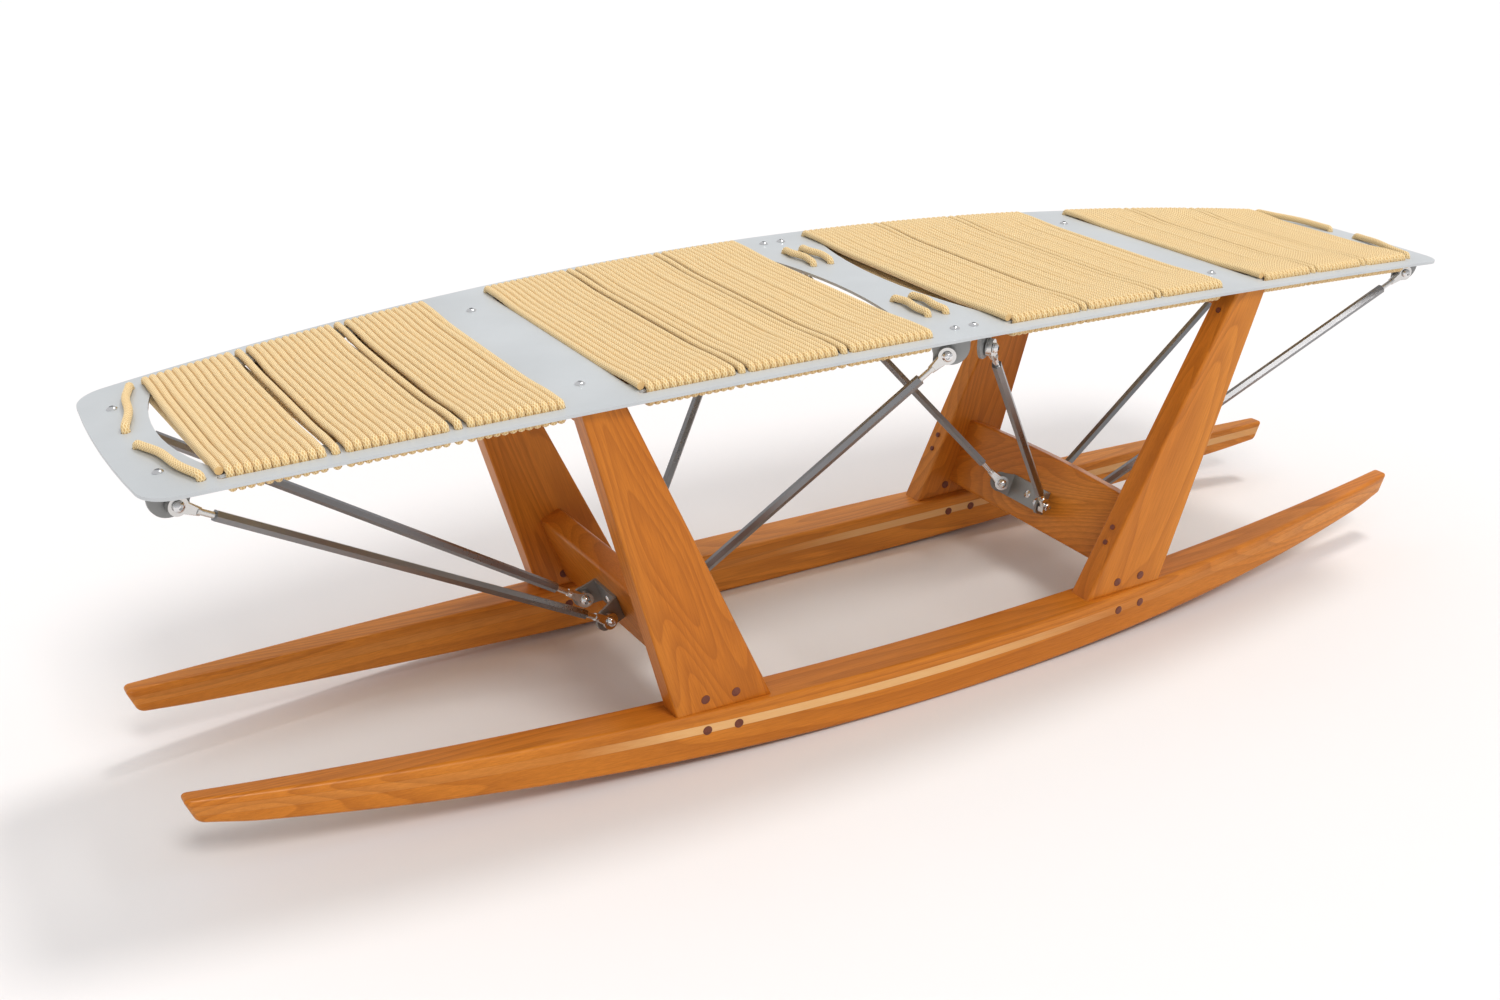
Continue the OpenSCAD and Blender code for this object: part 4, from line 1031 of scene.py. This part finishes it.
@dataclass
class Stitches:
    """The eight short stitches that tie off the rope."""

    sizes: BenchSizes = SIZES
    radius: float = 4.0 * MM
    sides: int = 48
    rows: int = 190
    bow: float = 2.6 * MM
    bend: float = 4.2 * MM
    tail: float = 9.0 * MM
    arch: float = 1.3 * MM
    swell: float = 0.22 * MM
    end_outer: tuple[float, float] = (59.0 * MM, 25.0 * MM)
    end_inner: tuple[float, float] = (30.0 * MM, 22.0 * MM)
    middle_x: float = 12.0 * MM
    middle_y: tuple[float, float] = (80.0 * MM, 143.0 * MM)

    def places(self) -> list[tuple[Array, Array]]:
        """Places the holes: an end stitch and a middle stitch, on all four quarters.

        Returns:
            The two holes of each stitch, as x and y.
        """
        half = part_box("seat_plate")[1].x
        x, inset = half - self.end_outer[0], self.end_outer[1]
        outer = np.array([x, float(self.sizes.half_w(x, inset))])
        pairs = [(outer, np.array([half - self.end_inner[0], self.end_inner[1]])),
                 tuple(np.array([self.middle_x, y]) for y in self.middle_y)]
        flips = [np.array([e, d]) for e in (1, -1) for d in (1, -1)]
        return [(a * f, b * f) for a, b in pairs for f in flips]

    def path(self, a: Array, b: Array, hand: float) -> Array:
        """Centre line of a stitch: up through a hole, over with a gentle S, and down.

        Args:
            a: the first hole.
            b: the second hole.
            hand: which way the S bows.
        Returns:
            The (n, 3) centre line.
        """
        s = self.sizes
        t = np.linspace(0.0, 1.0, self.rows)
        run = float(np.linalg.norm(b - a))
        low, high = -s.plate_t - self.tail, s.rope_gap + self.radius
        c = self.bend
        down = high - c - low
        quarter = c * QUARTER_TURN
        total = 2 * down + 2 * quarter + (run - 2 * c)
        d = t * total
        half = np.minimum(d, total - d)
        lean = np.clip((half - down) / c, 0.0, QUARTER_TURN)
        up = np.where(half < down, low + half, high - c + c * np.sin(lean))
        inward = c * (1 - np.cos(lean)) + np.clip(half - down - quarter, 0.0, None)
        along = np.where(t < 0.5, inward, run - inward)
        share = np.clip(along / run, 0.0, 1.0)
        up = up + self.arch * np.sin(math.pi * share) ** 2
        way = (b - a) / run
        side = np.array([-way[1], way[0]])
        shift = hand * self.bow * np.sin(FULL_TURN * share) * np.sin(math.pi * share)
        flat = a + along[:, None] * way + shift[:, None] * side
        return s.crown_point(flat[:, 0], flat[:, 1], up)

    def build(self) -> Object:
        """Builds all eight stitches with modelled strands.

        Returns:
            The new object.
        """
        paths = [self.path(a, b, 1.0 if k % 2 else -1.0)
                 for k, (a, b) in enumerate(self.places())]
        return rope_tube("rope_stitch_ties", paths, self.radius, self.sides,
                         np.array([0.83, 0.13, 0.05]), swell=self.swell)

    def dress(self, piece: Object, finish: Material) -> None:
        """Gives the stitches the rope's braid."""
        put(piece, finish, ["rope_stitches"])


# ---- metal parts of the frame


@dataclass
class MetalParts:
    """The frame's own metal nodes, which keep their shape and get better finishes."""

    plate: MetalFinish = MetalFinish("plate_aluminium", (0.645, 0.67, 0.68, 1.0), 0.44,
                                     metallic=0.35, grain=1300.0, grain_depth=0.08)
    strap: MetalFinish = MetalFinish("strap_aluminium", (0.34, 0.345, 0.34, 1.0), 0.40,
                                     metallic=0.45, grain=1300.0, grain_depth=0.08)
    tube: MetalFinish = MetalFinish("drawn_aluminium", (0.34, 0.34, 0.345, 1.0), 0.30,
                                    grain=300.0, grain_depth=0.004)
    bright: MetalFinish = MetalFinish("bright_steel", (0.80, 0.80, 0.80, 1.0), 0.12,
                                      grain=700.0, grain_depth=0.004)
    rod: MetalFinish = MetalFinish("plated_steel", (0.74, 0.735, 0.72, 1.0), 0.20,
                                   grain=700.0, grain_depth=0.01)

    def finish_of(self, node: str) -> MetalFinish | None:
        """Looks a node's finish up by the start of its name.

        Args:
            node: the node's name.
        Returns:
            The finish, or None for a node that isn't metal.
        """
        table = {"seat_plate": self.plate, "bracket_screws": self.bright,
                 "bracket": self.strap, "end_tabs": self.strap, "centre_tabs": self.strap,
                 "tube": self.tube, "rod_ends": self.rod, "rod_end": self.bright,
                 "plate_screws": self.bright}
        for start, finish in table.items():
            if node.startswith(start):
                return finish
        return None

    def dress(self) -> None:
        """Puts the finishes into the nodes' material slots, and walnut into the tenons'."""
        made: dict[str, Material] = {}
        walnut = WoodFinish("walnut_tenons", **WALNUT).make()
        for name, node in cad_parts.items():
            finish = self.finish_of(name)
            if finish is not None and finish.name not in made:
                made[finish.name] = finish.make()
            material = walnut if finish is None else made[finish.name]
            if not node.material_slots:
                node.data.materials.append(material)
            for place in node.material_slots:
                place.material = material


# ---- stage


@dataclass
class Studio:
    """Pale floor, soft lights and the camera."""

    reach: float = 60.0
    position: Triple = (-1.085, -1.520, 0.978)
    yaw: float = math.radians(31.81)
    pitch: float = math.radians(-23.53)
    roll: float = math.radians(1.26)
    lens: float = 40.5
    sensor: float = 36.0
    contrast_gamma: float = 0.86
    paper: Colour = (0.82, 0.805, 0.80, 1.0)
    sky: Colour = (0.97, 0.975, 1.0, 1.0)
    sky_power: float = 0.72

    def build_floor(self) -> None:
        """Lays a wide, flat floor of pale paper."""
        corners = np.array([[-1.0, -1.0, 0.0], [1.0, -1.0, 0.0], [1.0, 1.0, 0.0],
                            [-1.0, 1.0, 0.0]])
        floor = make_piece("studio_floor", corners * self.reach, [(0, 1, 2, 3)])
        sheet = NodeSheet("floor_paper")
        sheet.surface({"Base Color": self.paper, "Roughness": 0.8})
        floor.data.materials.append(sheet.material)

    def add_sun(self, name: str, towards: Triple, spread: float, power: float,
                colour: Triple) -> None:
        """Adds a broad, distant lamp.

        Args:
            name: the lamp's name.
            towards: direction from the bench to the lamp.
            spread: angle over which it spreads, in degrees, which softens its shadows.
            power: its strength.
            colour: its colour.
        """
        data = bpy.data.lights.new(name, "SUN")
        data.angle = math.radians(spread)
        data.energy = power
        data.color = colour
        lamp = new_object(name, data)
        lamp.rotation_euler = Vector(towards).to_track_quat("Z", "Y").to_euler()

    def build_lights(self) -> None:
        """Soft white surroundings with a key lamp behind and a second lamp in front."""
        world = bpy.data.worlds.new("studio")
        world.use_nodes = True
        back = world.node_tree.nodes["Background"].inputs
        back["Color"].default_value, back["Strength"].default_value = self.sky, self.sky_power
        bpy.context.scene.world = world
        self.add_sun("key", (0.42, 0.16, 1.0), 12.0, 0.95, (1.0, 0.975, 0.95))
        self.add_sun("second", (-0.04, -0.60, 0.80), 20.0, 1.2, (1.0, 0.985, 0.965))

    def build_camera(self) -> None:
        """Sets the camera from its place and its yaw, pitch and roll."""
        cy, sy = math.cos(self.yaw), math.sin(self.yaw)
        cp, sp = math.cos(self.pitch), math.sin(self.pitch)
        forward = Vector((sy * cp, cy * cp, sp))
        right = forward.cross(Vector((0.0, 0.0, 1.0))).normalized()
        up = right.cross(forward)
        cr, sr = math.cos(self.roll), math.sin(self.roll)
        right, up = right * cr + up * sr, up * cr - right * sr
        data = bpy.data.cameras.new("camera")
        data.lens = self.lens
        data.sensor_width = self.sensor
        camera = new_object("camera", data)
        turn = Matrix((right, up, -forward)).transposed()
        camera.matrix_world = Matrix.Translation(Vector(self.position)) @ turn.to_4x4()
        bpy.context.scene.camera = camera

    def build(self) -> None:
        """Builds the whole stage."""
        self.build_camera()
        self.build_floor()
        self.build_lights()
        bpy.context.scene.view_settings.view_transform = "Standard"
        bpy.context.scene.view_settings.gamma = self.contrast_gamma


def main() -> None:
    """Builds the bench's looks, part by part."""
    logging.basicConfig(level=logging.INFO, format="%(name)s: %(message)s")
    Studio().build()
    MetalParts().dress()
    for side, name in ((1, "runner_left_shell"), (-1, "runner_right_shell")):
        runner = Runner(side, name)
        runner.dress(runner.build())
    for end in (1, -1):
        for side in (1, -1):
            leg = Leg(end, side)
            leg.dress(leg.build())
        bars = Crossbars(end)
        bars.dress(bars.build_lower(), bars.build_upper())
    Plugs().build()
    braid = RopeFinish().make()
    for node, bundle in (("rope_panel_rear_end", 12), ("rope_panel_rear_middle", 13),
                         ("rope_panel_front_middle", 13), ("rope_panel_front_end", 12)):
        panel = RopePanel(node, bundle)
        panel.dress(panel.build(), braid)
    ties = Stitches()
    ties.dress(ties.build(), braid)


if __name__ == "__main__":
    main()
